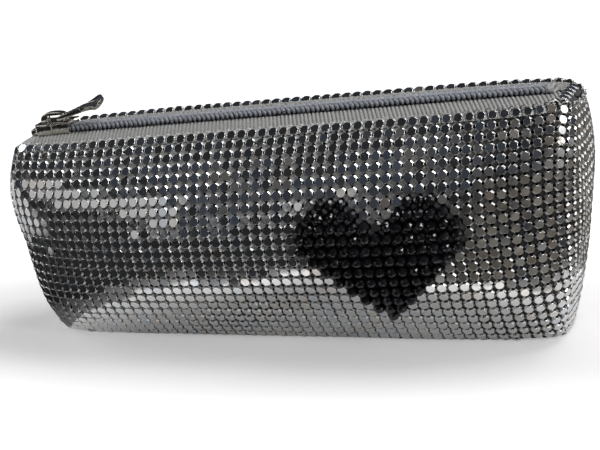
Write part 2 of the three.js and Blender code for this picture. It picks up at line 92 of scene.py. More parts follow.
Piece = bpy.types.Object
Material = bpy.types.Material
Socket = bpy.types.NodeSocket
Colour = tuple[float, float, float, float]
Span = tuple[float, float]
Size = tuple[float, float, float]
FaceTest = Callable[[bpy.types.MeshPolygon], bool]
Surface = Callable[[np.ndarray, np.ndarray], np.ndarray]


class Direction(Enum):
    """One of two opposite directions; the value is its sign along an axis."""

    @property
    def word(self) -> str:
        """The direction's name in pieces and in the frame."""
        return self.name.lower()


class Side(Direction):
    """The two walls of the bag, along Y."""

    FRONT = -1
    BACK = 1


class Half(Direction):
    """The two halves of the mouth and of the bag, along X."""

    LEFT = -1
    RIGHT = 1


def deselect() -> None:
    """Leaves edit mode and selects nothing."""
    if bpy.context.mode != "OBJECT":
        bpy.ops.object.mode_set(mode="OBJECT")
    bpy.ops.object.select_all(action="DESELECT")


def select(*pieces: Piece) -> None:
    """Selects these objects alone, and makes the first one active.

    Args:
        pieces: The objects.
    """
    deselect()
    for piece in pieces:
        piece.select_set(True)
    bpy.context.view_layer.objects.active = pieces[0]


def pick_faces(piece: Piece, wanted: FaceTest) -> None:
    """Enters edit mode with some faces of a mesh selected.

    Args:
        piece: The mesh to edit.
        wanted: Says whether a face is selected.
    """
    select(piece)
    mesh = piece.data
    for part in (mesh.vertices, mesh.edges):
        part.foreach_set("select", [False] * len(part))
    mesh.polygons.foreach_set("select", [wanted(face) for face in mesh.polygons])
    bpy.context.tool_settings.mesh_select_mode = (False, False, True)
    bpy.ops.object.mode_set(mode="EDIT")


def apply_modifier(piece: Piece, kind: str, **settings: object) -> None:
    """Adds a modifier to a mesh and applies it.

    Args:
        piece: The mesh.
        kind: Blender's name of the modifier's type.
        settings: Values of the modifier.
    """
    select(piece)
    modifier = piece.modifiers.new(kind.lower(), kind)
    for key, value in settings.items():
        setattr(modifier, key, value)
    bpy.ops.object.modifier_apply(modifier=modifier.name)


def smooth(piece: Piece, degrees: float) -> None:
    """Shades a mesh smooth, apart from edges sharper than an angle."""
    select(piece)
    bpy.ops.object.shade_smooth_by_angle(angle=math.radians(degrees))


def add_object(name: str, data: bpy.types.ID) -> Piece:
    """Adds an object to the scene.

    Args:
        name: Name of the object.
        data: Its mesh or curve.

    Returns:
        The object.
    """
    piece = bpy.data.objects.new(name, data)
    bpy.context.scene.collection.objects.link(piece)
    return piece


def add_octagon(radius: float, depth: float, middle: float) -> Piece:
    """Adds an eight-sided disc, with its flats square to the axes.

    Args:
        radius: Distance from the axis to a corner.
        depth: Thickness along Z.
        middle: Height of its middle.

    Returns:
        The disc.
    """
    deselect()
    bpy.ops.mesh.primitive_cylinder_add(
        vertices=OCTAGON, radius=radius, depth=depth, location=(0, 0, middle), rotation=(0, 0, OCTAGON_TURN),
    )
    bpy.ops.object.transform_apply(location=True, rotation=True, scale=True)
    return bpy.context.object


def read_points(piece: Piece) -> np.ndarray:
    """Reads a mesh's points.

    Args:
        piece: The mesh.

    Returns:
        One point to a row.
    """
    points = np.empty(len(piece.data.vertices) * 3)
    piece.data.vertices.foreach_get("co", points)
    return points.reshape(-1, 3)


def write_points(piece: Piece, points: np.ndarray) -> None:
    """Moves a mesh's points."""
    piece.data.vertices.foreach_set("co", points.ravel())
    piece.data.update()


def unit(vectors: np.ndarray) -> np.ndarray:
    """Vectors, one to a row, at length 1."""
    return vectors / np.linalg.norm(vectors, axis=1, keepdims=True)


def ease(share: np.ndarray) -> np.ndarray:
    """A share, kept from 0 to 1 and eased at both."""
    kept = np.clip(share, 0, 1)
    return kept**2 * (3 - 2 * kept)


def row_by_row(row: Callable[[float, np.ndarray], np.ndarray]) -> Surface:
    """Makes a surface from its rows.

    Args:
        row: Gives a row's points, for its share across the surface and shares along it.

    Returns:
        The surface.
    """

    def place(along: np.ndarray, across: np.ndarray) -> np.ndarray:
        """Points of the surface.

        Args:
            along: Shares along it, from 0 to 1.
            across: Shares across it, from 0 to 1.

        Returns:
            One point to a row.
        """
        points = np.empty((len(along), 3))
        for share in np.unique(across):
            here = across == share
            points[here] = row(share, along[here])
        return points

    return place


def wrapped_grid(name: str, columns: int, rows: int, place: Surface, flip: bool) -> Piece:
    """Lays a grid over a surface.

    Args:
        name: Name of the new mesh object.
        columns: Faces along the surface.
        rows: Faces across the surface.
        place: Gives points for shares along and across, from 0 to 1.
        flip: Whether the wrapped grid faces inwards and has to be turned.

    Returns:
        The open sheet.
    """
    deselect()
    bpy.ops.mesh.primitive_grid_add(x_subdivisions=columns, y_subdivisions=rows, size=1)
    cloth = bpy.context.object
    cloth.name = cloth.data.name = name
    shares = np.round(read_points(cloth) + 0.5, decimals=6)
    write_points(cloth, place(shares[:, 0], shares[:, 1]))
    if flip:
        pick_faces(cloth, lambda face: True)
        bpy.ops.mesh.flip_normals()
        deselect()
    return cloth


def thicken(cloth: Piece, thickness: float, material: Material) -> None:
    """Gives a sheet its thickness and its finish.

    Args:
        cloth: The open sheet.
        thickness: How far it goes inwards.
        material: Finish of the sheet.
    """
    apply_modifier(cloth, "SOLIDIFY", thickness=thickness, offset=-1)
    smooth(cloth, CLOTH_SHARP)
    cloth.data.materials.append(material)


def dressed_copy(node: str, name: str, round_off: float, material: Material) -> Piece:
    """Copies a solid of the frame and rounds its edges.

    Args:
        node: Name of the solid.
        name: Name of the copy.
        round_off: Width of the rounded edges.
        material: Finish of the copy.

    Returns:
        The copy, which replaces the solid.
    """
    source = bpy.data.objects[node]
    copy = add_object(name, source.data.copy())
    copy.data.transform(source.matrix_world)
    copy.data.materials.clear()
    copy.data.materials.append(material)
    pick_faces(copy, lambda face: True)
    bpy.ops.mesh.remove_doubles(threshold=WELD)
    bpy.ops.mesh.dissolve_limited(angle_limit=math.radians(FLAT_TURN))
    bpy.ops.mesh.normals_make_consistent(inside=False)
    apply_modifier(copy, "BEVEL", width=round_off, segments=3, limit_method="ANGLE",
                   angle_limit=math.radians(EDGE_TURN), use_clamp_overlap=True)
    smooth(copy, METAL_SHARP)
    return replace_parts(copy, node)


def tube(name: str, line: np.ndarray, width: np.ndarray, material: Material) -> Piece:
    """Models a round strand along a line.

    Args:
        name: Name of the new mesh object.
        line: Points of the line.
        width: Radius at each point.
        material: Finish of the strand.

    Returns:
        The strand, as a mesh.
    """
    curve = bpy.data.curves.new(name, "CURVE")
    curve.dimensions = "3D"
    curve.bevel_depth = 1
    curve.bevel_resolution = 2
    curve.use_fill_caps = True
    spline = curve.splines.new("POLY")
    spline.points.add(len(line) - 1)
    spline.points.foreach_set("co", np.column_stack([line, np.ones(len(line))]).ravel())
    spline.points.foreach_set("radius", width)
    spline.use_smooth = True
    strand = add_object(name, curve)
    select(strand)
    bpy.ops.object.convert(target="MESH")
    strand.data.materials.append(material)
    return strand


@dataclass(frozen=True)
class Sites:
    """Places on a surface, each with a direction along it and one out of it."""

    centre: np.ndarray
    along: np.ndarray
    out: np.ndarray

    @classmethod
    def joined(cls, parts: "list[Sites]") -> "Sites":
        """All the places of several lists, in order."""
        return cls(*(np.concatenate([getattr(p, key) for p in parts]) for key in ("centre", "along", "out")))

    @property
    def across(self) -> np.ndarray:
        """The direction across each place."""
        return np.cross(self.out, self.along)

    def kept(self, mask: np.ndarray) -> "Sites":
        """The places where the mask is true."""
        return Sites(self.centre[mask], self.along[mask], self.out[mask])

    def lifted(self, lift: float) -> "Sites":
        """The same places, moved out of the surface."""
        return Sites(self.centre + self.out * lift, self.along, self.out)

    def shrunk(self, shares: np.ndarray | float) -> "Sites":
        """The same places for copies of a share of the full width."""
        return Sites(self.centre, self.along * shares, self.out)

    def tilted(self, sway: np.ndarray) -> "Sites":
        """The places tilted by small slopes.

        Args:
            sway: One slope along and one across for each place.

        Returns:
            The places, with square and unit directions.
        """
        out = unit(self.out - self.along * sway[:, :1] - self.across * sway[:, 1:])
        along = unit(self.along - out * np.sum(self.along * out, axis=1, keepdims=True))
        return Sites(self.centre, along, out)


@dataclass(frozen=True)
class Pattern:
    """A small shape that is modelled once and laid many times."""

    points: np.ndarray
    faces: tuple[tuple[int, ...], ...]
    flat: tuple[bool, ...]

    @classmethod
    def take(cls, piece: Piece, flat: FaceTest) -> "Pattern":
        """Reads a modelled shape and removes its object.

        Args:
            piece: The shape, at the origin with +Z outwards.
            flat: Says whether a face is shaded flat.

        Returns:
            The shape as a pattern.
        """
        deselect()
        mesh = piece.data
        points = np.array([vertex.co for vertex in mesh.vertices])
        faces = tuple(tuple(face.vertices) for face in mesh.polygons)
        pattern = cls(points, faces, tuple(flat(face) for face in mesh.polygons))
        bpy.data.objects.remove(piece)
        bpy.data.meshes.remove(mesh)
        return pattern


@dataclass(frozen=True)
class Layer:
    """Copies of one pattern in one finish; each copy has a tint from 0 to 1."""

    pattern: Pattern
    sites: Sites
    tints: np.ndarray
    material: Material


def lay_copies(name: str, layers: list[Layer]) -> Piece:
    """Lays copies of patterns at their sites as one mesh.

    Args:
        name: Name of the new mesh object.
        layers: Patterns with their sites, tints and finishes.

    Returns:
        The mesh, with each copy's tint in the attribute copy_tint, and in copy_reach the distance from
        the copy's axis.
    """
    points, faces, tints, reaches, rounds, slots = [], [], [], [], [], []
    first = 0
    for slot, layer in enumerate(layers):
        sites, size = layer.sites, len(layer.pattern.points)
        turns = np.stack([sites.along, sites.across, sites.out], axis=2)
        copies = np.einsum("nij,kj->nki", turns, layer.pattern.points) + sites.centre[:, None, :]
        points.append(copies.reshape(-1, 3))
        starts = first + size * np.arange(len(sites.centre))
        for corners, flat in zip(layer.pattern.faces, layer.pattern.flat):
            faces.extend((starts[:, None] + np.array(corners)).tolist())
            rounds.extend([not flat] * len(starts))
            slots.extend([slot] * len(starts))
        tints.append(np.repeat(layer.tints, size))
        reaches.append(np.tile(np.linalg.norm(layer.pattern.points[:, :2], axis=1), len(starts)))
        first += size * len(starts)
    mesh = bpy.data.meshes.new(name)
    mesh.from_pydata(np.concatenate(points).tolist(), [], faces)
    mesh.polygons.foreach_set("use_smooth", rounds)
    mesh.polygons.foreach_set("material_index", slots)
    for key, values in (("copy_tint", tints), ("copy_reach", reaches)):
        mesh.attributes.new(key, "FLOAT", "POINT").data.foreach_set("value", np.concatenate(values))
    for layer in layers:
        mesh.materials.append(layer.material)
    mesh.update()
    return add_object(name, mesh)


def model_stitch(size: Size) -> Pattern:
    """Models one stitch, a rounded bead of thread.

    Args:
        size: Its half sizes.

    Returns:
        The bead.
    """
    deselect()
    bpy.ops.mesh.primitive_uv_sphere_add(segments=8, ring_count=5, radius=1)
    stitch = bpy.context.object
    bpy.ops.transform.resize(value=size)
    bpy.ops.object.transform_apply(location=True, rotation=True, scale=True)
    return Pattern.take(stitch, lambda face: False)


class Graph:
    """Node graph of a material or a world, built a node at a time."""

    def __init__(self, owner: Material | bpy.types.World) -> None:
        """Empties the owner's graph.

        Args:
            owner: The material or world.
        """
        owner.use_nodes = True
        self.owner, self.tree = owner, owner.node_tree
        self.tree.nodes.clear()

    def node(self, kind: str, inputs: dict[str, object] | None = None, **settings: object) -> bpy.types.Node:
        """Adds a node.

        Args:
            kind: The node's type, without ShaderNode.
            inputs: Values or sockets for its inputs, by name or number.
            settings: Properties of the node.

        Returns:
            The node.
        """
        made = self.tree.nodes.new(f"ShaderNode{kind}")
        for key, value in settings.items():
            setattr(made, key, value)
        for key, value in (inputs or {}).items():
            if isinstance(value, Socket):
                self.tree.links.new(value, made.inputs[key])
            else:
                made.inputs[key].default_value = value
        return made

    def ramp(self, factor: Socket, stops: dict[float, Colour]) -> Socket:
        """Turns a factor into colours.

        Args:
            factor: Socket of the factor.
            stops: Colours by position.

        Returns:
            The colour socket.
        """
        made = self.node("ValToRGB", {"Fac": factor})
        elements = made.color_ramp.elements
        for element in list(elements)[1:]:
            elements.remove(element)
        (first, colour), *rest = stops.items()
        elements[0].position, elements[0].color = first, colour
        for position, colour in rest:
            elements.new(position).color = colour
        return made.outputs["Color"]

    def math(self, operation: str, *values: object) -> Socket:
        """A number worked out from numbers or sockets."""
        return self.node("Math", dict(enumerate(values)), operation=operation).outputs[0]

    def noise(self, vector: Socket, scale: float, detail: float = 3) -> Socket:
        """Noise over a vector, from 0 to 1."""
        return self.node("TexNoise", {"Vector": vector, "Scale": scale, "Detail": detail}).outputs["Fac"]

    def remap(self, value: Socket, span: Span, to: Span = (0, 1), eased: bool = False) -> Socket:
        """Turns a span of values into another, and keeps what lies past its ends at them.

        Args:
            value: Socket of the values.
            span: The span that is turned.
            to: The span that it becomes.
            eased: Whether it eases at both ends.

        Returns:
            Socket of the new values.
        """
        inputs = {"Value": value, "From Min": span[0], "From Max": span[1], "To Min": to[0], "To Max": to[1]}
        kind = "SMOOTHSTEP" if eased else "LINEAR"
        return self.node("MapRange", inputs, interpolation_type=kind).outputs["Result"]

    def spread(self, noise: Socket, to: Span) -> Socket:
        """The middle stretch of a noise as another span of values."""
        return self.remap(noise, (0.3, 0.7), to)

    def mix(self, share: Socket, first: object, second: object) -> Socket:
        """A colour between two colours or colour sockets."""
        return self.node("Mix", {0: share, 6: first, 7: second}, data_type="RGBA").outputs[2]

    def bump(self, height: Socket, depth: float, strength: float = 1) -> Socket:
        """A normal bumped by a height from 0 to 1."""
        values = {"Height": height, "Distance": depth, "Strength": strength}
        return self.node("Bump", values).outputs["Normal"]

    def attribute(self, name: str) -> Socket:
        """A value that the mesh holds at its points."""
        return self.node("Attribute", attribute_name=name).outputs["Fac"]

    def place(self) -> Socket:
        """Object coordinates, in metres."""
        return self.node("TexCoord").outputs["Object"]

    def axes(self, vector: Socket) -> bpy.types.NodeOutputs:
        """The parts of a vector, as X, Y and Z."""
        return self.node("SeparateXYZ", {"Vector": vector}).outputs

    def away(self, middle: Span, reach: Span) -> Socket:
        """Distance in plan from a middle, measured by a reach along X and one along Y.

        Args:
            middle: Where the distance is 0.
            reach: How far along X and Y the distance is 1.

        Returns:
            Socket of the distance.
        """
        moved = self.node("VectorMath", {0: self.place(), 1: (*middle, 0)}, operation="SUBTRACT").outputs[0]
        scale = (1 / reach[0], 1 / reach[1], 0)
        scaled = self.node("VectorMath", {0: moved, 1: scale}, operation="MULTIPLY").outputs[0]
        return self.node("VectorMath", {0: scaled}, operation="LENGTH").outputs["Value"]


@dataclass(frozen=True)
class Finish:
    """Look of a surface: a principled shader with the inputs that each kind of finish gives it."""

    name: str

    def inputs(self, graph: Graph) -> dict[str, object]:
        """Works out the shader's inputs by their names, with their nodes in the material's graph."""
        raise NotImplementedError

    def make(self) -> Material:
        """Builds the material.

        Returns:
            The material.
        """
        graph = Graph(bpy.data.materials.new(self.name))
        shader = graph.node("BsdfPrincipled", self.inputs(graph))
        graph.node("OutputMaterial", {"Surface": shader.outputs["BSDF"]})
        return graph.owner


@dataclass(frozen=True)
class PlateFinish(Finish):
    """Polished plates with duller claws, faintly tinted from plate to plate, with hairline scuffs."""

    name: str = "polished_plate"
    warm: Colour = (0.86, 0.82, 0.77, 1)
    plain: Colour = (0.84, 0.84, 0.83, 1)
    cool: Colour = (0.78, 0.82, 0.86, 1)
    plain_tints: Span = (0.2, 0.8)
    roughness: Span = (0.05, 0.16)
    claw_roughness: float = 0.4
    claw_span: Span = (1.43 * MM, 1.58 * MM)
    scuff_scale: float = 700
    scuff_detail: float = 4
    scuff_depth: float = 0.01 * MM
    scuff_strength: float = 0.25

    def inputs(self, graph: Graph) -> dict[str, object]:
        """A tint for each plate, scuffs, and claws of another gloss.

        Args:
            graph: The material's graph, which gets the nodes.

        Returns:
            Values and sockets by the names of the shader's inputs.
        """
        scuffs = graph.noise(graph.place(), self.scuff_scale, self.scuff_detail)
        claws = graph.remap(graph.attribute("copy_reach"), self.claw_span, (0, self.claw_roughness))
        first, last = self.plain_tints
        tints = {0: self.warm, first: self.plain, last: self.plain, 1: self.cool}
        return {
            "Base Color": graph.ramp(graph.attribute("copy_tint"), tints),
            "Metallic": 1.0,
            "Roughness": graph.math("MAXIMUM", graph.spread(scuffs, self.roughness), claws),
            "Normal": graph.bump(scuffs, self.scuff_depth, self.scuff_strength),
        }


@dataclass(frozen=True)
class LinkFinish(Finish):
    """Duller metal of the links behind the plates, with shade painted dark towards the base and the right
    end.
    """

    name: str = "link_metal"
    # Painted shade: the near-black that the links take low on the bag and towards its right end.
    painted_shade: Colour = (0.03, 0.03, 0.028, 1)
    dark: Colour = (0.62, 0.62, 0.61, 1)
    pale: Colour = (0.95, 0.95, 0.94, 1)
    stops: Span = (0.3, 0.7)
    scale: float = 1500
    metallic: float = 0.3
    roughness: Span = (0.5, 0.65)
    # Heights and places over which the painted shade gives way to grained metal.
    shade_heights: Span = (24 * MM, 46 * MM)
    shade_places: Span = (70 * MM, 15 * MM)

    def inputs(self, graph: Graph) -> dict[str, object]:
        """Grained metal where it is lit, and painted shade towards the base and the right end.

        Args:
            graph: The material's graph, which gets the nodes.

        Returns:
            Values and sockets by the names of the shader's inputs.
        """
        place = graph.place()
        grain = graph.noise(place, self.scale)
        axes = graph.axes(place)
        spans = {"Z": self.shade_heights, "X": self.shade_places}
        # Share of grained metal: 0 where painted shade covers the links, low down and towards the right end.
        unshaded = graph.math("MULTIPLY", *(graph.remap(axes[axis], span) for axis, span in spans.items()))
        bright = graph.ramp(grain, dict(zip(self.stops, (self.dark, self.pale))))
        return {
            "Base Color": graph.mix(unshaded, self.painted_shade, bright),
            "Metallic": self.metallic,
            "Roughness": graph.spread(grain, self.roughness),
        }


@dataclass(frozen=True)
class CrystalFinish(Finish):
    """Black faceted glass, a little different from stone to stone."""

    name: str = "black_crystal"
    jet: Colour = (0.002, 0.002, 0.003, 1)
    smoke: Colour = (0.008, 0.008, 0.011, 1)
    refraction: float = 1.6
    smear_scale: float = 600
    roughness: Span = (0.01, 0.04)

    def inputs(self, graph: Graph) -> dict[str, object]:
        """A tint for each stone, and faint smears.

        Args:
            graph: The material's graph, which gets the nodes.

        Returns:
            Values and sockets by the names of the shader's inputs.
        """
        return {
            "Base Color": graph.ramp(graph.attribute("copy_tint"), {0: self.jet, 1: self.smoke}),
            "Roughness": graph.spread(graph.noise(graph.place(), self.smear_scale), self.roughness),
            "IOR": self.refraction,
        }


@dataclass(frozen=True)
class TapeFinish(Finish):
    """Ribbed woven tape, with shade painted into its grooves; its map runs in millimetres along and across.
    """

    name: str = "ribbed_tape"
    # Painted shade: the grooves between the ribs take this near-black colour; the ribs take the tape's own
    # pale colour.
    groove: Colour = (0.05, 0.05, 0.048, 1)
    rib: Colour = (0.92, 0.92, 0.89, 1)
    stops: Span = (0.3, 0.85)
    shade_lift: float = 0.15
    yarn_pitch: float = 0.32
    yarn_waver: float = 1.2
    yarn_detail: float = 1
    yarn_depth: float = 0.06 * MM
    fuzz_scale: float = 2.2
    wear: Span = (0.75, 1.1)
    roughness: float = 0.85
    sheen: float = 0.2

    def inputs(self, graph: Graph) -> dict[str, object]:
        """Worn ribs with fine yarns across them, and painted shade in the grooves between the ribs.

        Args:
            graph: The material's graph, which gets the nodes.

        Returns:
            Values and sockets by the names of the shader's inputs.
        """
        weave = graph.node("UVMap", uv_map="UVMap").outputs["UV"]
        yarns = graph.node("TexWave", {
            "Vector": weave, "Scale": WAVE_LENGTH / self.yarn_pitch, "Distortion": self.yarn_waver,
            "Detail": self.yarn_detail,
        }, bands_direction="Y").outputs["Fac"]
        wear = graph.spread(graph.noise(weave, self.fuzz_scale), self.wear)
        worn = graph.math("MULTIPLY", graph.attribute("rib_height"), wear)
        shade = graph.math("MULTIPLY_ADD", worn, yarns, self.shade_lift)
        return {
            "Base Color": graph.ramp(shade, dict(zip(self.stops, (self.groove, self.rib)))),
            "Roughness": self.roughness,
            "Sheen Weight": self.sheen,
            "Normal": graph.bump(yarns, self.yarn_depth),
        }


@dataclass(frozen=True)
class CoilFinish(Finish):
    """Nylon coil, satin with faint streaks."""

    name: str = "nylon_coil"
    deep: Colour = (0.16, 0.17, 0.20, 1)
    pale: Colour = (0.50, 0.52, 0.58, 1)
    stops: Span = (0.25, 0.75)
    scale: float = 1800
    roughness: Span = (0.24, 0.36)
    refraction: float = 1.53

    def inputs(self, graph: Graph) -> dict[str, object]:
        """Streaks of colour and gloss.

        Args:
            graph: The material's graph, which gets the nodes.

        Returns:
            Values and sockets by the names of the shader's inputs.
        """
        streaks = graph.noise(graph.place(), self.scale)
        return {
            "Base Color": graph.ramp(streaks, dict(zip(self.stops, (self.deep, self.pale)))),
            "Roughness": graph.spread(streaks, self.roughness),
            "IOR": self.refraction,
        }


@dataclass(frozen=True)
class NickelFinish(Finish):
    """Bright nickel plate with fine rub marks."""

    name: str = "bright_nickel"
    shade: Colour = (0.66, 0.62, 0.56, 1)
    shine: Colour = (0.80, 0.77, 0.71, 1)
    stops: Span = (0.3, 0.7)
    scale: float = 900
    detail: float = 5
    roughness: Span = (0.05, 0.17)
    rub_depth: float = 0.015 * MM
    rub_strength: float = 0.3

    def inputs(self, graph: Graph) -> dict[str, object]:
        """Rub marks in colour, gloss and height.

        Args:
            graph: The material's graph, which gets the nodes.

        Returns:
            Values and sockets by the names of the shader's inputs.
        """
        rubs = graph.noise(graph.place(), self.scale, self.detail)
        return {
            "Base Color": graph.ramp(rubs, dict(zip(self.stops, (self.shade, self.shine)))),
            "Metallic": 1.0,
            "Roughness": graph.spread(rubs, self.roughness),
            "Normal": graph.bump(rubs, self.rub_depth, self.rub_strength),
        }


@dataclass(frozen=True)
class ClothFinish(Finish):
    """Plain woven cloth, with its yarns a fraction of a millimetre apart."""

    deep: Colour
    pale: Colour
    stops: Span = (0.1, 0.45)
    yarn_scale: float = 2600
    yarn_detail: float = 2
    yarn_depth: float = 0.05 * MM
    slub_scale: float = 130
    roughness: float = 0.55
    sheen: float = 0.3

    def inputs(self, graph: Graph) -> dict[str, object]:
        """Yarns with thicker stretches.

        Args:
            graph: The material's graph, which gets the nodes.

        Returns:
            Values and sockets by the names of the shader's inputs.
        """
        place = graph.place()
        yarns = graph.noise(place, self.yarn_scale, self.yarn_detail)
        mixed = graph.math("MULTIPLY", yarns, graph.noise(place, self.slub_scale))
        return {
            "Base Color": graph.ramp(mixed, dict(zip(self.stops, (self.deep, self.pale)))),
            "Roughness": self.roughness,
            "Sheen Weight": self.sheen,
            "Normal": graph.bump(yarns, self.yarn_depth),
        }


@dataclass(frozen=True)
class CardFinish(Finish):
    """Card that only metal and glass see, painted with the reflections they show: a soft pale edge round the
    bag, dark on the left, paler patches on the right.

    A white patch covers it far to the left, and ends short of the front: a painted bright reflection.
    """

    name: str = "reflection_card"
    middle: Span = (22 * MM, 0)
    inner: Span = (100 * MM, 50 * MM)
    # Painted reflection: a pale strip next to the bag, which metal sees in place of the floor.
    edge: Colour = (0.45, 0.45, 0.45, 1)
    edge_share: float = 0.22
    dark: Colour = (0.032, 0.032, 0.033, 1)
    dim_patch: Colour = (0.03, 0.036, 0.048, 1)
    warm_patch: Colour = (0.20, 0.175, 0.14, 1)
    pale_patch: Colour = (0.45, 0.44, 0.41, 1)
    patch_stops: tuple[float, ...] = (0.36, 0.52, 0.68)
    patch_scale: float = 34
    dark_to_pale: Span = (10 * MM, 120 * MM)
    # Painted bright reflection, far to the left.
    bright_reflection: Colour = (0.85, 0.85, 0.85, 1)
    bright_reflection_left: Span = (-150 * MM, -165 * MM)
    bright_reflection_front: Span = (-92 * MM, -78 * MM)

    def inputs(self, graph: Graph) -> dict[str, object]:
        """Painted reflections: the dark card with its patches, and the white patch, beyond the pale edge.

        Args:
            graph: The material's graph, which gets the nodes.

        Returns:
            Values and sockets by the names of the shader's inputs.
        """
        place = graph.place()
        tones = (self.dim_patch, self.warm_patch, self.pale_patch)
        patches = graph.ramp(graph.noise(place, self.patch_scale), dict(zip(self.patch_stops, tones)))
        axes = graph.axes(place)
        left = graph.remap(axes["X"], self.bright_reflection_left)
        brightened = graph.math("MULTIPLY", left, graph.remap(axes["Y"], self.bright_reflection_front))
        reflection_flag = graph.mix(graph.remap(axes["X"], self.dark_to_pale), self.dark, patches)
        beyond = graph.remap(graph.away(self.middle, self.inner), (1, 1 + self.edge_share), eased=True)
        return {
            "Base Color": graph.mix(beyond, self.edge, graph.mix(brightened, reflection_flag, self.bright_reflection)),
            "Roughness": 1.0,
            "Specular IOR Level": 0.0,
        }


@dataclass(frozen=True)
class FloorFinish:
    """Pale floor that glows to look white and keeps shadows; its glow is lower near the bag, painting soft
    shade round it, and lower still for metal and glass, painting a darker reflection there.
    """

    name: str = "pale_floor"
    paint: Colour = (0.86, 0.86, 0.86, 1)
    # Glow that the camera sees: lower near the bag, which paints soft shade round it.
    lift: Span = (0.32, 0.62)
    lift_shares: Span = (0.8, 1.45)
    lift_middle: Span = (0, 0)
    lift_reach: Span = (0.125, 0.055)
    # Glow that only metal and glass see: far lower near the bag, which paints a darker reflection of the
    # floor there.
    shine: Span = (0.05, 0.45)
    reflected_glow_shares: Span = (0.54, 0.88)
    reflected_glow_middle: Span = (30 * MM, 0)
    reflected_glow_reach: Span = (0.155, 0.056)

    def make(self) -> Material:
        """Builds the material.

        Returns:
            The material, which glows less close to the bag.
        """
        graph = Graph(bpy.data.materials.new(self.name))
        path = graph.node("LightPath").outputs
        metal = graph.math("ADD", path["Is Glossy Ray"], path["Is Transmission Ray"])
        # Painted shade and painted reflection: both glows fall off towards the bag.
        lift_away = graph.away(self.lift_middle, self.lift_reach)
        lift = graph.remap(lift_away, self.lift_shares, self.lift, eased=True)
        reflected_glow_away = graph.away(self.reflected_glow_middle, self.reflected_glow_reach)
        shine = graph.remap(reflected_glow_away, self.reflected_glow_shares, self.shine, eased=True)
        seen = graph.math("MULTIPLY", path["Is Camera Ray"], lift)
        glow = graph.math("MULTIPLY_ADD", metal, shine, seen)
        matt = graph.node("BsdfDiffuse", {"Color": self.paint})
        light = graph.node("Emission", {"Strength": glow})
        both = graph.node("AddShader", {0: matt.outputs[0], 1: light.outputs[0]})
        graph.node("OutputMaterial", {"Surface": both.outputs[0]})
        return graph.owner


@dataclass(frozen=True)
class RoomFinish:
    """Dim room with soft patches, lighter to the right, which the metal shows."""

    name: str = "dim_room"
    dark: Colour = (0.02, 0.021, 0.023, 1)
    dim: Colour = (0.045, 0.055, 0.075, 1)
    warm: Colour = (0.13, 0.11, 0.09, 1)
    light: Colour = (0.30, 0.30, 0.31, 1)
    stops: tuple[float, ...] = (0.40, 0.52, 0.62, 0.72)
    scale: float = 5
    detail: float = 4
    lean: float = 0.18

    def make(self) -> bpy.types.World:
        """Builds the world.

        Returns:
            The world.
        """
        graph = Graph(bpy.data.worlds.new(self.name))
        way = graph.node("TexCoord").outputs["Generated"]
        patches = graph.noise(way, self.scale, self.detail)
        leaned = graph.math("MULTIPLY_ADD", graph.axes(way)["X"], self.lean, patches)
        tones = (self.dark, self.dim, self.warm, self.light)
        light = graph.node("Background", {"Color": graph.ramp(leaned, dict(zip(self.stops, tones)))})
        graph.node("OutputWorld", {"Surface": light.outputs[0]})
        return graph.owner


@dataclass(frozen=True)
class Ripple:
    """One soft wave in the stuffed wall."""

    height: float
    length: float
    heading: float
    phase: float

    def slopes(self, arcs: np.ndarray, down: float) -> np.ndarray:
        """Slopes of the wave.

        Args:
            arcs: Distances along the bag from its middle.
            down: Distance down the wall from the rim.

        Returns:
            The slopes along and across the wall, for each place.
        """
        turn = 2 * math.pi / self.length
        along, fall = turn * math.cos(self.heading), turn * math.sin(self.heading)
        slope = -self.height * np.sin(along * arcs + fall * down + self.phase)
        return np.column_stack([slope * along, slope * fall])


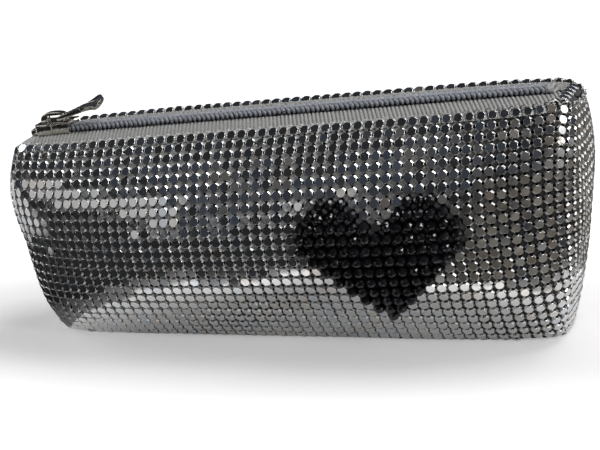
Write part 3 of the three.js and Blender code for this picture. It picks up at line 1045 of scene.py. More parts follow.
@dataclass(frozen=True)
class BagForm:
    """Outer form of the stuffed bag."""

    rim_height: float = 64.5 * MM
    rim_half_depth: float = 14.5 * MM
    rim_half_length: float = 87 * MM
    rim_rise: float = 4.3 * MM
    base_half_depth: float = 11 * MM
    base_half_length: float = 79.5 * MM
    shoulder_out: float = 22.3 * MM
    shoulder_down: float = 20.2 * MM
    belly_out: float = 19 * MM
    belly_up: float = 17.5 * MM
    end_shoulder_out: float = 3.5 * MM
    end_shoulder_down: float = 22.5 * MM
    end_belly_out: float = 4 * MM
    end_belly_up: float = 15 * MM
    corner_power: float = 5
    belly_power: float = 3.2
    fold_height: float = 8 * MM
    left_sag: float = 4 * MM
    right_sag: float = 2.6 * MM
    sag_length: float = 6.5 * MM
    back_rise: float = 1.2 * MM
    back_rise_from: float = 6 * MM
    back_rise_power: float = 8
    roll_radius: float = 1.5 * MM
    roll_turn: float = 2.0
    probe: float = 0.4 * MM
    ripples: tuple[Ripple, ...] = (
        Ripple(0.70 * MM, 62 * MM, 0.9, 0.4),
        Ripple(0.40 * MM, 41 * MM, 2.2, 2.1),
        Ripple(0.20 * MM, 23 * MM, 1.1, 4.0),
        Ripple(0.08 * MM, 13 * MM, 2.6, 1.3),
    )

    @staticmethod
    def bend(points: list[Span]) -> np.ndarray:
        """Points along a cubic curve.

        Args:
            points: The curve's four corners.

        Returns:
            One point to a row.
        """
        share = np.linspace(0, 1, CURVE_SAMPLES)[:, None]
        weights = ((1 - share) ** 3, 3 * share * (1 - share) ** 2, 3 * share**2 * (1 - share), share**3)
        return sum(weight * np.array(point) for weight, point in zip(weights, points))

    @cached_property
    def wall(self) -> np.ndarray:
        """Course of the wall, from the rolled hem down the side of the bag.

        Returns:
            Distance down from the rim, half depth and height, one point to a row.
        """
        curve = self.bend([
            (self.rim_half_depth, self.rim_height),
            (self.rim_half_depth + self.shoulder_out, self.rim_height - self.shoulder_down),
            (self.base_half_depth + self.belly_out, self.belly_up),
            (self.base_half_depth, 0),
        ])
        steps = np.linalg.norm(np.diff(curve, axis=0), axis=1)
        side = np.column_stack([np.append(0, np.cumsum(steps)), curve])
        start = math.atan2(self.shoulder_out, self.shoulder_down)
        turn = np.linspace(self.roll_turn, 0, OUTLINE_SAMPLES, endpoint=False)
        angle = start + turn
        spoke = np.column_stack([np.cos(angle) - math.cos(start), np.sin(angle) - math.sin(start)])
        roll = np.column_stack([-turn * self.roll_radius, curve[0] + spoke * self.roll_radius])
        return np.concatenate([roll, side])

    @cached_property
    def end(self) -> np.ndarray:
        """Course of the bag's end, from the base up.

        Returns:
            Half length and height, one point to a row.
        """
        return self.bend([
            (self.rim_half_length, self.rim_height),
            (self.rim_half_length + self.end_shoulder_out, self.rim_height - self.end_shoulder_down),
            (self.base_half_length + self.end_belly_out, self.end_belly_up),
            (self.base_half_length, 0),
        ])[::-1]

    @property
    def wall_length(self) -> float:
        """Length of the wall from the rim to the base."""
        return self.wall[-1, 0]

    @property
    def fold_down(self) -> float:
        """Distance down the wall of the fold between the wall and the base."""
        return self.down_at(self.fold_height)

    def level(self, down: float) -> Span:
        """Half depth and height at a distance down the wall."""
        return tuple(np.interp(down, self.wall[:, 0], self.wall[:, column]) for column in (1, 2))

    def down_at(self, height: float) -> float:
        """Distance down the wall of a height."""
        side = self.wall[self.wall[:, 0] >= 0]
        return float(np.interp(-height, -side[:, 2], side[:, 0]))

    def reach(self, height: float) -> float:
        """Half length of the bag at a height."""
        return float(np.interp(height, self.end[:, 1], self.end[:, 0]))

    def power(self, height: float) -> float:
        """How blunt the ends are in plan at a height: rounder at the belly."""
        swell = math.sin(math.pi * min(height / self.rim_height, 1)) ** 2
        return self.corner_power + (self.belly_power - self.corner_power) * swell

    def quarter(self, down: float, inset: float = 0) -> np.ndarray:
        """Arc, x and depth along a quarter of the bag's outline at one level.

        Args:
            down: Distance down the wall.
            inset: Distance inwards from the outer face.

        Returns:
            One row per sample, from the middle of the wall to its end.
        """
        depth, height = self.level(down)
        power = self.power(height)
        flat = np.linspace(0, 0.5 ** (1 / power), OUTLINE_SAMPLES)
        bent = (1 - flat**power) ** (1 / power)
        x = (self.reach(height) - inset) * np.append(flat, bent[-2::-1])
        y = (depth - inset) * np.append(bent, flat[-2::-1])
        arcs = np.append(0, np.cumsum(np.hypot(np.diff(x), np.diff(y))))
        return np.column_stack([arcs, x, y])

    def girth(self, down: float, inset: float = 0) -> float:
        """Length of a quarter of the bag's outline at one level."""
        return self.quarter(down, inset)[-1, 0]

    def sag(self, x: np.ndarray) -> np.ndarray:
        """How far the soft corners of the mouth hang down."""
        past = np.clip(np.abs(x) - self.rim_half_length + self.sag_length, 0, None) / self.sag_length
        return np.where(x < 0, self.left_sag, self.right_sag) * past**2

    def lean(self, points: np.ndarray) -> np.ndarray:
        """Raises points towards the fuller right end and the higher back rim, and lets the corners sag.

        Args:
            points: Points of the level bag.

        Returns:
            The points where they come to lie.
        """
        x, y, z = points.T
        share = z / self.rim_height
        behind = ease((y - self.back_rise_from) / (self.rim_half_depth - self.back_rise_from))
        back = self.back_rise * behind * np.clip(share, 0, 1) ** self.back_rise_power
        rise = self.rim_rise * x / self.rim_half_length - self.sag(x)
        return np.column_stack([x, y, z + share * rise + back])

    def edge(self, side: Side, x: np.ndarray, height: float, inset: float) -> np.ndarray:
        """Points of a wall at given x and height.

        Args:
            side: Which wall.
            x: Places along the bag.
            height: Height before the lean.
            inset: Distance inwards from the outer face.

        Returns:
            One point for each x.
        """
        depth, power = self.level(self.down_at(height))[0] - inset, self.power(height)
        share = np.clip(np.abs(x) / (self.reach(height) - inset), 0, 1) ** power
        y = side.value * depth * (1 - share) ** (1 / power)
        return self.lean(np.column_stack([x, y, np.full_like(x, height)]))

    def points(self, side: Side, arcs: np.ndarray, down: float, inset: float = 0) -> np.ndarray:
        """Points on a wall.

        Args:
            side: Which wall.
            arcs: Distances along the wall from its middle.
            down: Distance down the wall.
            inset: Distance inwards from the outer face.

        Returns:
            One point for each arc.
        """
        table = self.quarter(down, inset)
        x = np.sign(arcs) * np.interp(np.abs(arcs), table[:, 0], table[:, 1])
        y = side.value * np.interp(np.abs(arcs), table[:, 0], table[:, 2])
        return self.lean(np.column_stack([x, y, np.full_like(x, self.level(down)[1])]))

    def sites(self, side: Side, arcs: np.ndarray, down: float) -> Sites:
        """Places on a wall, with its soft waves.

        Args:
            side: Which wall.
            arcs: Distances along the wall from its middle.
            down: Distance down the wall.

        Returns:
            The places, facing out.
        """
        along = self.points(side, arcs + self.probe, down) - self.points(side, arcs - self.probe, down)
        fall = self.points(side, arcs, down + self.probe) - self.points(side, arcs, down - self.probe)
        out = -side.value * np.cross(fall, along)
        slopes = sum(ripple.slopes(arcs, down) for ripple in self.ripples)
        return Sites(self.points(side, arcs, down), unit(along), unit(out)).tilted(slopes)


@dataclass(frozen=True)
class Mouth:
    """The soft mouth, with the places where its ends are sewn."""

    left_sewn: float = -85 * MM
    right_sewn: float = 66.5 * MM

    def bend(self, piece: Piece, side: Side, half: Half) -> None:
        """Bakes a piece's placement into its mesh."""
        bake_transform(piece)


@dataclass(frozen=True)
class Chain:
    """Line of the zipper, which climbs with the rim and dips a little at its ends."""

    form: BagForm
    height: float = 66.3 * MM
    start: float = -76.25 * MM
    finish: float = 78.15 * MM

    @property
    def turn(self) -> float:
        """Angle at which the line climbs."""
        form = self.form
        return math.atan(self.height * form.rim_rise / (form.rim_height * form.rim_half_length))

    def reach(self, half: Half) -> float:
        """Length of one half of the line."""
        return abs(self.start if half is Half.LEFT else self.finish)

    def placed(self, local: np.ndarray) -> np.ndarray:
        """Moves points from the line to the bag's frame.

        Args:
            local: Points given along, across and above the line.

        Returns:
            The points in the bag's frame.
        """
        x = local[..., 0] * math.cos(self.turn) - local[..., 2] * math.sin(self.turn)
        z = local[..., 0] * math.sin(self.turn) + local[..., 2] * math.cos(self.turn)
        return np.stack([x, local[..., 1], self.height + z - self.form.sag(x)], axis=-1)


@dataclass
class Heart:
    """Heart of crystals that take the place of plates.

    A row gives the first and the last column from the middle that hold a crystal, and a tier of a crystal's
    crown gives its share of the crown's height and how far it draws in.
    """

    centre_column: int = 35
    top_row: int = 7
    rows: tuple[tuple[int, int], ...] = (
        (3, 5), (2, 6), (1, 7), (0, 7), (0, 7), (0, 6), (0, 5), (0, 4), (0, 3), (0, 2), (0, 1), (0, 0),
    )
    width: float = 3.1 * MM
    girdle: float = 1.0 * MM
    crown: float = 1.35 * MM
    tiers: tuple[Span, ...] = ((0.4, 0.84), (0.4, 0.6), (0.2, 0.3))
    lift: float = 0.2 * MM
    sway: float = 0.13

    def holds(self, column: int, row: int) -> bool:
        """Whether a place of the lattice holds a crystal.

        Args:
            column: Number of the column.
            row: Number of the row, from the rim.

        Returns:
            True inside the heart.
        """
        index = row - self.top_row
        if not 0 <= index < len(self.rows):
            return False
        first, last = self.rows[index]
        return first <= abs(column - self.centre_column) <= last

    def model_crystal(self) -> Pattern:
        """Models one crystal: an eight-sided girdle, a crown in three tiers and a small table.

        Returns:
            The crystal.
        """
        crystal = add_octagon(self.width / 2 / math.cos(OCTAGON_TURN), self.girdle, self.girdle / 2)
        pick_faces(crystal, lambda face: face.normal.z > ROUGHLY)
        for rise, shrink in self.tiers:
            bpy.ops.mesh.extrude_region_move(TRANSFORM_OT_translate={"value": (0, 0, self.crown * rise)})
            bpy.ops.transform.resize(value=(shrink, shrink, 1))
            bpy.ops.transform.rotate(value=OCTAGON_TURN, orient_axis="Z", center_override=(0, 0, 0))
        bpy.ops.mesh.select_all(action="SELECT")
        bpy.ops.mesh.quads_convert_to_tris()
        return Pattern.take(crystal, lambda face: True)


@dataclass(frozen=True)
class MeshKit:
    """What the mesh is laid with: plates, links, their finishes and the source of their small differences."""

    plate: Pattern
    link: Pattern
    plate_finish: Material
    link_finish: Material
    draw: np.random.Generator


@dataclass
class MeshShell:
    """Metal mesh: eight-sided plates in a square lattice, on links at the corners between them."""

    form: BagForm
    mouth: Mouth
    chain: Chain
    heart: Heart
    pitch: float = 3.2 * MM
    first_row: float = 1.3 * MM
    middle_column: float = 24.326
    link_offset: float = 0.5
    plate_width: float = 2.66 * MM
    plate_thickness: float = 0.5 * MM
    plate_round: float = 0.12 * MM
    claw_reach: float = 0.34 * MM
    claw_drop: float = 0.34 * MM
    claw_facing: Span = (0.6, 0.8)
    link_width: float = 1.9 * MM
    link_thickness: float = 0.3 * MM
    link_depth: float = 0.6 * MM
    link_rim_share: float = 0.2
    link_dish_share: float = 0.5
    lift: float = 0.25 * MM
    end_margin: float = 0.6 * MM
    seam_gap: float = 0.3 * MM
    seam_least: float = 0.35
    hem_place: float = 84.2 * MM
    hem_up: float = -0.55 * MM
    hem_plates: int = 5
    front_hem_from: float = 79 * MM
    open_places: Span = (40 * MM, 76 * MM)
    open_shares: Span = (1, 0.87)
    sway: float = 0.02
    stray_share: float = 0.05
    stray_sway: float = 0.11
    seed: int = 11

    def model_plate(self) -> Pattern:
        """Models one plate: a flat octagon with a rounded rim and four claws bent down.

        Returns:
            The plate.
        """
        radius = self.plate_width / 2 / math.cos(OCTAGON_TURN)
        plate = add_octagon(radius, self.plate_thickness, -self.plate_thickness / 2)
        pick_faces(plate, lambda face: face.normal.z > ROUGHLY)
        bpy.ops.mesh.bevel(offset=self.plate_round, segments=2, affect="EDGES")
        for x in (-1, 1):
            for y in (-1, 1):
                way = Vector((x, y, 0)).normalized()
                pick_faces(plate, lambda face: face.normal.dot(way) > EXACTLY)
                bend = (way.x * self.claw_reach, way.y * self.claw_reach, -self.claw_drop)
                bpy.ops.mesh.extrude_region_move(TRANSFORM_OT_translate={"value": bend})
        low, high = self.claw_facing
        return Pattern.take(plate, lambda face: abs(face.normal.z) > EXACTLY or low < face.normal.z < high)

    def model_link(self) -> Pattern:
        """Models one link: a small dished plate under four claws.

        Returns:
            The link.
        """
        middle = -self.link_depth - self.link_thickness / 2
        link = add_octagon(self.link_width / 2, self.link_thickness, middle)
        pick_faces(link, lambda face: face.normal.z > ROUGHLY)
        bpy.ops.mesh.inset(thickness=self.link_width * self.link_rim_share)
        bpy.ops.transform.translate(value=(0, 0, -self.link_thickness * self.link_dish_share))
        return Pattern.take(link, lambda face: face.normal.z < -ROUGHLY)

    @property
    def last_row(self) -> int:
        """Number of the lowest row of a wall."""
        return int((self.form.wall_length - self.first_row) / self.pitch)

    def down(self, row: float) -> float:
        """Distance down the wall of a row."""
        return self.first_row + row * self.pitch

    def columns(self, reach: float, offset: float) -> tuple[np.ndarray, np.ndarray]:
        """Lattice columns that stay clear of the ends.

        Args:
            reach: Distance from the middle to either end.
            offset: Shift along the row, in columns.

        Returns:
            The columns' numbers, and their distances from the middle.
        """
        span = (reach - self.end_margin) / self.pitch
        first = math.ceil(self.middle_column - span - offset)
        last = math.floor(self.middle_column + span - offset)
        numbers = np.arange(first, last + 1)
        return numbers, (numbers + offset - self.middle_column) * self.pitch

    def row(self, side: Side, row: float, offset: float) -> tuple[np.ndarray, Sites]:
        """One row of the lattice on a wall.

        Args:
            side: Which wall.
            row: Number of the row, from the rim; a half lies between two rows.
            offset: Shift along the row, in columns.

        Returns:
            The columns' numbers and their places.
        """
        down = self.down(row)
        numbers, arcs = self.columns(self.form.girth(down), offset)
        return numbers, self.form.sites(side, arcs, down)

    def base_row(self, row: float, offset: float) -> Sites:
        """One row of the lattice on the flat base.

        Args:
            row: Number of the row, from the middle of the base.
            offset: Shift along the row, in columns.

        Returns:
            The places, facing down.
        """
        y = row * self.pitch
        power = self.form.corner_power
        share = (1 - abs(y / self.form.base_half_depth) ** power) ** (1 / power)
        _, x = self.columns(self.form.base_half_length * share, offset)
        centre = np.column_stack([x, np.full_like(x, y), np.zeros_like(x)])
        return Sites(centre, np.tile((1.0, 0, 0), (len(x), 1)), np.tile((0, 0, -1.0), (len(x), 1)))

    def shaken(self, sites: Sites, draw: np.random.Generator) -> Sites:
        """Tilts places a little, as loose plates lie.

        Args:
            sites: The places.
            draw: Source of the tilts.

        Returns:
            The tilted places.
        """
        size = (len(sites.centre), 2)
        stray = draw.random((size[0], 1)) < self.stray_share
        return sites.tilted(draw.normal(size=size) * np.where(stray, self.stray_sway, self.sway))

    def dress(self, name: str, plates: Sites, links: Sites, kit: MeshKit) -> Piece:
        """Lays plates and links as one piece, with plates that leave wider gaps at the right end.

        Args:
            name: Name of the piece.
            plates: Places of the plates.
            links: Places of the links.
            kit: What the piece is laid with.

        Returns:
            The piece.
        """
        loose = self.shaken(plates, kit.draw)
        loose = loose.shrunk(np.interp(loose.centre[:, :1], self.open_places, self.open_shares))
        plate_tints = kit.draw.random(len(plates.centre))
        loose_links = self.shaken(links, kit.draw)
        link_tints = kit.draw.random(len(links.centre))
        piece = lay_copies(name, [
            Layer(kit.plate, loose, plate_tints, kit.plate_finish),
            Layer(kit.link, loose_links, link_tints, kit.link_finish),
        ])
        return piece

    def build(self, plate: Material, link: Material, black: Material) -> list[Piece]:
        """Builds the two walls, the base, the heart and the end seams.

        Args:
            plate: Finish of the plates.
            link: Finish of the links.
            black: Finish of the crystals.

        Returns:
            The pieces.
        """
        kit = MeshKit(self.model_plate(), self.model_link(), plate, link, np.random.default_rng(self.seed))
        pieces, low_plates, low_links, stones = [], [], [], []
        for side in Side:
            plates, links = [], []
            for row in range(-1, self.last_row + 1):
                numbers, sites = self.row(side, row, 0)
                if row < 0 and side is Side.FRONT:
                    shown = sites.centre[:, 0] > self.front_hem_from
                    numbers, sites = numbers[shown], sites.kept(shown)
                stone = np.array([side is Side.FRONT and self.heart.holds(n, row) for n in numbers])
                stones.append(sites.kept(stone))
                on_lip = self.down(row) < self.form.fold_down
                (plates if on_lip else low_plates).append(sites.kept(~stone).lifted(self.lift))
                _, corners = self.row(side, row + self.link_offset, self.link_offset)
                (links if on_lip else low_links).append(corners.lifted(self.lift))
            wall = Sites.joined(plates), Sites.joined(links)
            for half in Half:
                mine = [sites.kept(sites.centre[:, 0] * half.value >= 0) for sites in wall]
                piece = self.dress(f"{side.word}_mesh_{half.word}", *mine, kit)
                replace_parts(piece, f"{side.word}_mesh_panel")
                self.mouth.bend(piece, side, half)
                pieces.append(piece)
        last_under = int(self.form.base_half_depth / self.pitch)
        for row in range(-last_under, last_under + 1):
            low_plates.append(self.base_row(row, 0))
            link_row = row + self.link_offset if row < last_under else row
            low_links.append(self.base_row(link_row, self.link_offset))
        base = self.dress("base_mesh_plates", Sites.joined(low_plates), Sites.joined(low_links), kit)
        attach(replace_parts(base, "base_mesh"), "root")
        heart = self.set_heart(Sites.joined(stones), black, kit.draw)
        return [*pieces, base, heart, *(self.close_end(half, kit) for half in Half)]

    def set_heart(self, stones: Sites, black: Material, draw: np.random.Generator) -> Piece:
        """Sets the heart's crystals.

        Args:
            stones: Places of the crystals.
            black: Finish of the crystals.
            draw: Source of their small tilts.

        Returns:
            The heart as one piece.
        """
        count = len(stones.centre)
        sites = stones.lifted(self.heart.lift).tilted(draw.normal(size=(count, 2)) * self.heart.sway)
        tints = draw.random(count)
        heart = lay_copies("heart_crystal_set", [Layer(self.heart.model_crystal(), sites, tints, black)])
        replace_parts(heart, "heart_crystals")
        self.mouth.bend(heart, Side.FRONT, Half.RIGHT)
        return heart

    def seam_column(self, half: Half, width: float, offset: float) -> Sites:
        """Places down an end seam, sized to what the rows of the two walls leave free there.

        Args:
            half: Which end.
            width: Full width of what is placed.
            offset: Shift of the rows and columns, in pitches.

        Returns:
            The places where the gap is wide enough.
        """
        found = []
        for row in range(self.last_row + 1):
            down = self.down(row + offset)
            reach = self.form.girth(down)
            _, arcs = self.columns(reach, offset)
            share = (2 * (reach - np.max(arcs * half.value)) - width - self.seam_gap) / width
            if share > self.seam_least:
                site = self.form.sites(Side.FRONT, np.array([half.value * reach]), down)
                found.append(site.lifted(self.lift).shrunk(min(share, 1)))
        return Sites.joined(found)

    def hem(self) -> Sites:
        """A row of places across the tapes' right end, where the mesh turns in over them.

        Returns:
            The places, facing up.
        """
        y = (np.arange(self.hem_plates) - (self.hem_plates - 1) / 2) * self.pitch
        before, centre, after = (
            self.chain.placed(np.column_stack([np.full_like(y, x), y, np.full_like(y, self.hem_up)]))
            for x in (self.hem_place - self.pitch / 2, self.hem_place, self.hem_place + self.pitch / 2)
        )
        along = unit(after - before)
        return Sites(centre, along, np.cross(along, (0.0, 1.0, 0.0)))

    def close_end(self, half: Half, kit: MeshKit) -> Piece:
        """Closes the gap between the two walls with a column of plates and links down an end seam.

        Args:
            half: Which end.
            kit: What the column is laid with.

        Returns:
            The column as one piece.
        """
        plates = self.seam_column(half, self.plate_width, 0)
        links = self.seam_column(half, self.link_width, self.link_offset)
        if half is Half.RIGHT:
            plates = Sites.joined([plates, self.hem()])
        piece = lay_copies(f"end_mesh_{half.word}", [
            Layer(kit.plate, plates, kit.draw.random(len(plates.centre)), kit.plate_finish),
            Layer(kit.link, links, kit.draw.random(len(links.centre)), kit.link_finish),
        ])
        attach(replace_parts(piece, f"{half.word}_side_seam"), "root")
        return piece


@dataclass
class Lining:
    """Satin lining behind the mesh, sewn in under the tapes."""

    form: BagForm
    mouth: Mouth
    inset: float = 1.75 * MM
    thickness: float = 0.4 * MM
    top_down: float = 1.9 * MM
    columns: int = 80
    rows: int = 40
    crease_height: float = 0.35 * MM
    crease_length: float = 21 * MM
    crease_slant: float = 9
    seam_round: float = 0.2 * MM

    @property
    def fall(self) -> float:
        """Height of a wall's lining, measured along it."""
        return self.form.fold_down - self.top_down

    def wall_row(self, side: Side, half: Half, across: float, along: np.ndarray) -> np.ndarray:
        """One row of one half of a wall's lining.

        Args:
            side: Which wall.
            half: Which half of it.
            across: Share of the way down.
            along: Shares of the way from the middle to the end.

        Returns:
            The row's points.
        """
        down = self.top_down + self.fall * across
        arcs = half.value * along * self.form.girth(down, self.inset)
        crease = np.sin(arcs / self.crease_length * 2 * math.pi + self.crease_slant * across)
        row = self.form.points(side, arcs, down, self.inset)
        row[:, 1] -= side.value * (1 + crease) * self.crease_height / 2
        return row

    def base_row(self, across: float, along: np.ndarray) -> np.ndarray:
        """One row of the base's lining, which goes up to the folds.

        Args:
            across: Share of the way from the front fold to the back fold.
            along: Shares of the way from the left end to the right.

        Returns:
            The row's points.
        """
        low = self.form.down_at(self.inset)
        flat = self.form.quarter(low, self.inset)
        flat_depth, flat_length = flat[0, 2], flat[-1, 1]
        y = (2 * across - 1) * (flat_depth + abs(self.form.fold_down - low))
        if abs(y) > flat_depth:
            down = low - (abs(y) - flat_depth)
            arcs = (2 * along - 1) * self.form.girth(down, self.inset)
            return self.form.points(Side.FRONT if y < 0 else Side.BACK, arcs, down, self.inset)
        power = self.form.corner_power
        x = (2 * along - 1) * flat_length * max(1 - abs(y / flat_depth) ** power, 0) ** (1 / power)
        return np.column_stack([x, np.full_like(x, y), np.full_like(x, self.inset)])

    def build(self, satin: Material) -> list[Piece]:
        """Builds the linings of both walls and of the base, and the seam allowances.

        Args:
            satin: Finish of the cloth.

        Returns:
            The pieces.
        """
        pieces = []
        middle, fall = self.form.girth(self.form.wall_length / 2, self.inset), self.fall
        for side in Side:
            for half in Half:
                surface = row_by_row(partial(self.wall_row, side, half))
                name = f"{side.word}_lining_{half.word}"
                cloth = wrapped_grid(name, self.columns, self.rows, surface, side.value * half.value < 0)
                thicken(cloth, self.thickness, satin)
                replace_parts(cloth, f"{side.word}_lining")
                self.mouth.bend(cloth, side, half)
                pieces.append(cloth)
        base = wrapped_grid("base_lining_cloth", self.columns, self.rows, row_by_row(self.base_row), True)
        thicken(base, self.thickness, satin)
        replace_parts(base, "base_lining")
        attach(base, "root")
        pieces.append(base)
        for end in Half:
            seam = dressed_copy(f"{end.word}_side_seam", f"{end.word}_seam_allowance", self.seam_round, satin)
            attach(seam, "root")
            pieces.append(seam)
        return pieces


@dataclass
class Coil:
    """The zipper's teeth: two nylon coils, whose loops lie between each other."""

    chain: Chain
    mouth: Mouth
    pitch: float = 1.5 * MM
    outer: float = 2.7 * MM
    tip: float = 0.9 * MM
    rise: float = 0.66 * MM
    wire: float = 0.41 * MM
    fat: float = 0.34
    skew: float = 1.15 * MM
    groove: float = 0.45
    drop: float = 0.05 * MM
    loop_points: int = 18
    stitch_across: float = 1.9 * MM
    stitch_up: float = 0.98 * MM
    stitch_size: Size = (0.42 * MM, 0.32 * MM, 0.22 * MM)

    def strand(self, side: Side, half: Half, nylon: Material) -> Piece:
        """One half of one coil.

        Args:
            side: Which tape the coil is sewn to.
            half: Which half of the mouth.
            nylon: Finish of the coil.

        Returns:
            The coil as one long loop.
        """
        turns = np.arange(0, self.chain.reach(half) / self.pitch, 1 / self.loop_points) * half.value
        if half is Half.LEFT:
            turns = turns[::-1]
        angle = 2 * math.pi * (turns + (0.5 if side is Side.BACK else 0))
        inward = np.cos(angle)
        across = (self.outer - self.tip) / 2 + (self.outer + self.tip) / 2 * inward
        rise = self.rise * (1 - self.groove * (1 - inward) / 2)
        line = np.column_stack([
            turns * self.pitch + self.skew * inward, side.value * across, -rise * np.sin(angle) - self.drop,
        ])
        width = self.wire * (1 + self.fat * (1 + inward) / 2)
        return tube(f"{side.word}_coil_{half.word}", self.chain.placed(line), width, nylon)

    def stitches(self, half: Half, thread: Material) -> Piece:
        """The row of thread that holds one half of the back coil to its tape.

        Args:
            half: Which half of the mouth.
            thread: Finish of the thread.

        Returns:
            The stitches as one piece.
        """
        x = np.arange(self.pitch / 2, self.chain.reach(half), self.pitch) * half.value
        lines = np.column_stack([x, np.full_like(x, self.stitch_across), np.full_like(x, self.stitch_up)])
        cosine, sine = math.cos(self.chain.turn), math.sin(self.chain.turn)
        along, out = (np.tile(way, (len(x), 1)) for way in ((cosine, 0, sine), (-sine, 0, cosine)))
        sites = Sites(self.chain.placed(lines), along, out)
        layer = Layer(model_stitch(self.stitch_size), sites, np.zeros_like(x), thread)
        return lay_copies(f"back_coil_stitches_{half.word}", [layer])

    def build(self, nylon: Material, thread: Material) -> list[Piece]:
        """Builds both coils and the back one's row of thread.

        Args:
            nylon: Finish of the coils.
            thread: Finish of the stitches.

        Returns:
            The pieces.
        """
        pieces = []
        for half in Half:
            for side in Side:
                strand = self.strand(side, half, nylon)
                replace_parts(strand, f"{side.word}_coil")
                self.mouth.bend(strand, side, half)
                pieces.append(strand)
            row = self.stitches(half, thread)
            self.mouth.bend(row, Side.BACK, half)
            pieces.append(row)
        return pieces


@dataclass
class Tape:
    """Ribbed tapes between the coils and the rim, with the stitches that hold them."""

    chain: Chain
    mouth: Mouth
    half_length: float = 86.3 * MM
    edge: float = 0.7 * MM
    bare_edge: float = 1.6 * MM
    flat: float = 5.4 * MM
    under_coil: float = 1.3 * MM
    tuck_height: float = 62.5 * MM
    inset: float = 0.4 * MM
    thickness: float = 0.35 * MM
    rows: int = 20
    shares: tuple[float, ...] = (0, 0.45, 0.82, 1)
    softening: int = 6
    rib_pitch: float = 1.2 * MM
    rib_skew: float = 0.4
    rib_height: float = 0.3 * MM
    rib_faces: int = 6
    ribs_from: float = -79 * MM
    # Past this place the tape is flat and takes the groove colour: painted shade at its right end.
    painted_shade_from: float = 82.5 * MM
    stitch_pitch: float = 1.6 * MM
    stitch_size: Size = (0.55 * MM, 0.26 * MM, 0.24 * MM)
    stitch_margin: float = 5 * MM
    stitch_down: float = -0.1 * MM
    stitch_lift: float = 0.15 * MM

    def stations(self, side: Side, x: np.ndarray) -> list[np.ndarray]:
        """Lines along the tape: its edge, the end of its flat, the rim and the tucked hem.

        Args:
            side: Which wall the tape is sewn to.
            x: Places along the tape.

        Returns:
            The four lines, with a point for each place.
        """
        form = self.chain.form
        inner = np.where(x < self.chain.start, self.bare_edge, self.edge)
        level = np.full_like(x, -self.under_coil)
        near = self.chain.placed(np.column_stack([x, side.value * inner, level]))
        far = self.chain.placed(np.column_stack([x, np.full_like(x, side.value * self.flat), level]))
        rim = form.edge(side, x, form.rim_height, self.inset)
        return [near, far, rim, form.edge(side, x, self.tuck_height, self.inset)]

    def ribs(self, points: np.ndarray) -> np.ndarray:
        """Height of the slanted ribs.

        Args:
            points: Points of the tape.

        Returns:
            Heights from 0 to 1: 1 all over the bare left end, and 0 under the plates of the right end, where
                the groove colour paints the tape dark as shade.
        """
        x = points[..., 0]
        cords = np.abs(np.sin(math.pi * (x - self.rib_skew * np.abs(points[..., 1])) / self.rib_pitch))
        return np.where(x < self.ribs_from, 1, np.where(x > self.painted_shade_from, 0, cords))

    def place(self, side: Side, half: Half, u: np.ndarray, v: np.ndarray) -> np.ndarray:
        """Points of the tape's upper face over one half of the mouth.

        Args:
            side: Which wall the tape is sewn to.
            half: Which half of the mouth.
            u: Shares of the way from the middle to the end.
            v: Shares of the way from the tape's edge to its hem.

        Returns:
            One point to a row.
        """
        along, column = np.unique(u, return_inverse=True)
        across, row = np.unique(v, return_inverse=True)
        lines = self.stations(side, half.value * along * self.half_length)
        grid = np.empty((len(across), len(along), 3))
        for index, share in enumerate(across):
            part = min(np.searchsorted(self.shares, share, side="right") - 1, len(lines) - 2)
            span = (share - self.shares[part]) / (self.shares[part + 1] - self.shares[part])
            grid[index] = lines[part] * (1 - span) + lines[part + 1] * span
        for _ in range(self.softening):
            grid[1:-1] = (grid[:-2] + 2 * grid[1:-1] + grid[2:]) / 4
        normal = np.cross(np.gradient(grid, axis=1), np.gradient(grid, axis=0))
        normal *= (np.sign(normal[..., 2]) / np.linalg.norm(normal, axis=2))[..., None]
        grid += normal * self.ribs(grid)[..., None] * self.rib_height
        return grid[row, column]

    @property
    def width(self) -> float:
        """Width of the tape at the middle of the mouth."""
        lines = [line[0] for line in self.stations(Side.FRONT, np.zeros(1))]
        return float(sum(np.linalg.norm(b - a) for a, b in zip(lines, lines[1:])))

    def cloth(self, side: Side, half: Half, ribbed: Material) -> Piece:
        """One half of a tape.

        Args:
            side: Which wall it is sewn to.
            half: Which half of the mouth.
            ribbed: Finish of the tape.

        Returns:
            The tape, with its ribs' heights in the attribute rib_height and its map in millimetres.
        """
        columns = int(self.half_length / self.rib_pitch * self.rib_faces)
        name = f"{side.word}_tape_{half.word}"
        surface = partial(self.place, side, half)
        cloth = wrapped_grid(name, columns, self.rows, surface, side.value * half.value < 0)
        heights = self.ribs(read_points(cloth))
        cloth.data.attributes.new("rib_height", "FLOAT", "POINT").data.foreach_set("value", heights)
        weave = cloth.data.uv_layers.active.data
        flat = np.empty(len(weave) * 2)
        weave.foreach_get("uv", flat)
        weave.foreach_set("uv", (flat.reshape(-1, 2) * (self.half_length / MM, self.width / MM)).ravel())
        thicken(cloth, self.thickness, ribbed)
        return cloth

    def stitches(self, side: Side, half: Half, thread: Material) -> Piece:
        """The row of stitches along one half of the rim.

        Args:
            side: Which wall.
            half: Which half of the mouth.
            thread: Finish of the thread.

        Returns:
            The stitches as one piece.
        """
        form = self.chain.form
        reach = form.girth(0) - self.stitch_margin
        arcs = np.arange(self.stitch_pitch / 2, reach, self.stitch_pitch) * half.value
        sites = form.sites(side, arcs, self.stitch_down).lifted(self.stitch_lift)
        layer = Layer(model_stitch(self.stitch_size), sites, np.zeros_like(arcs), thread)
        return lay_copies(f"{side.word}_stitches_{half.word}", [layer])

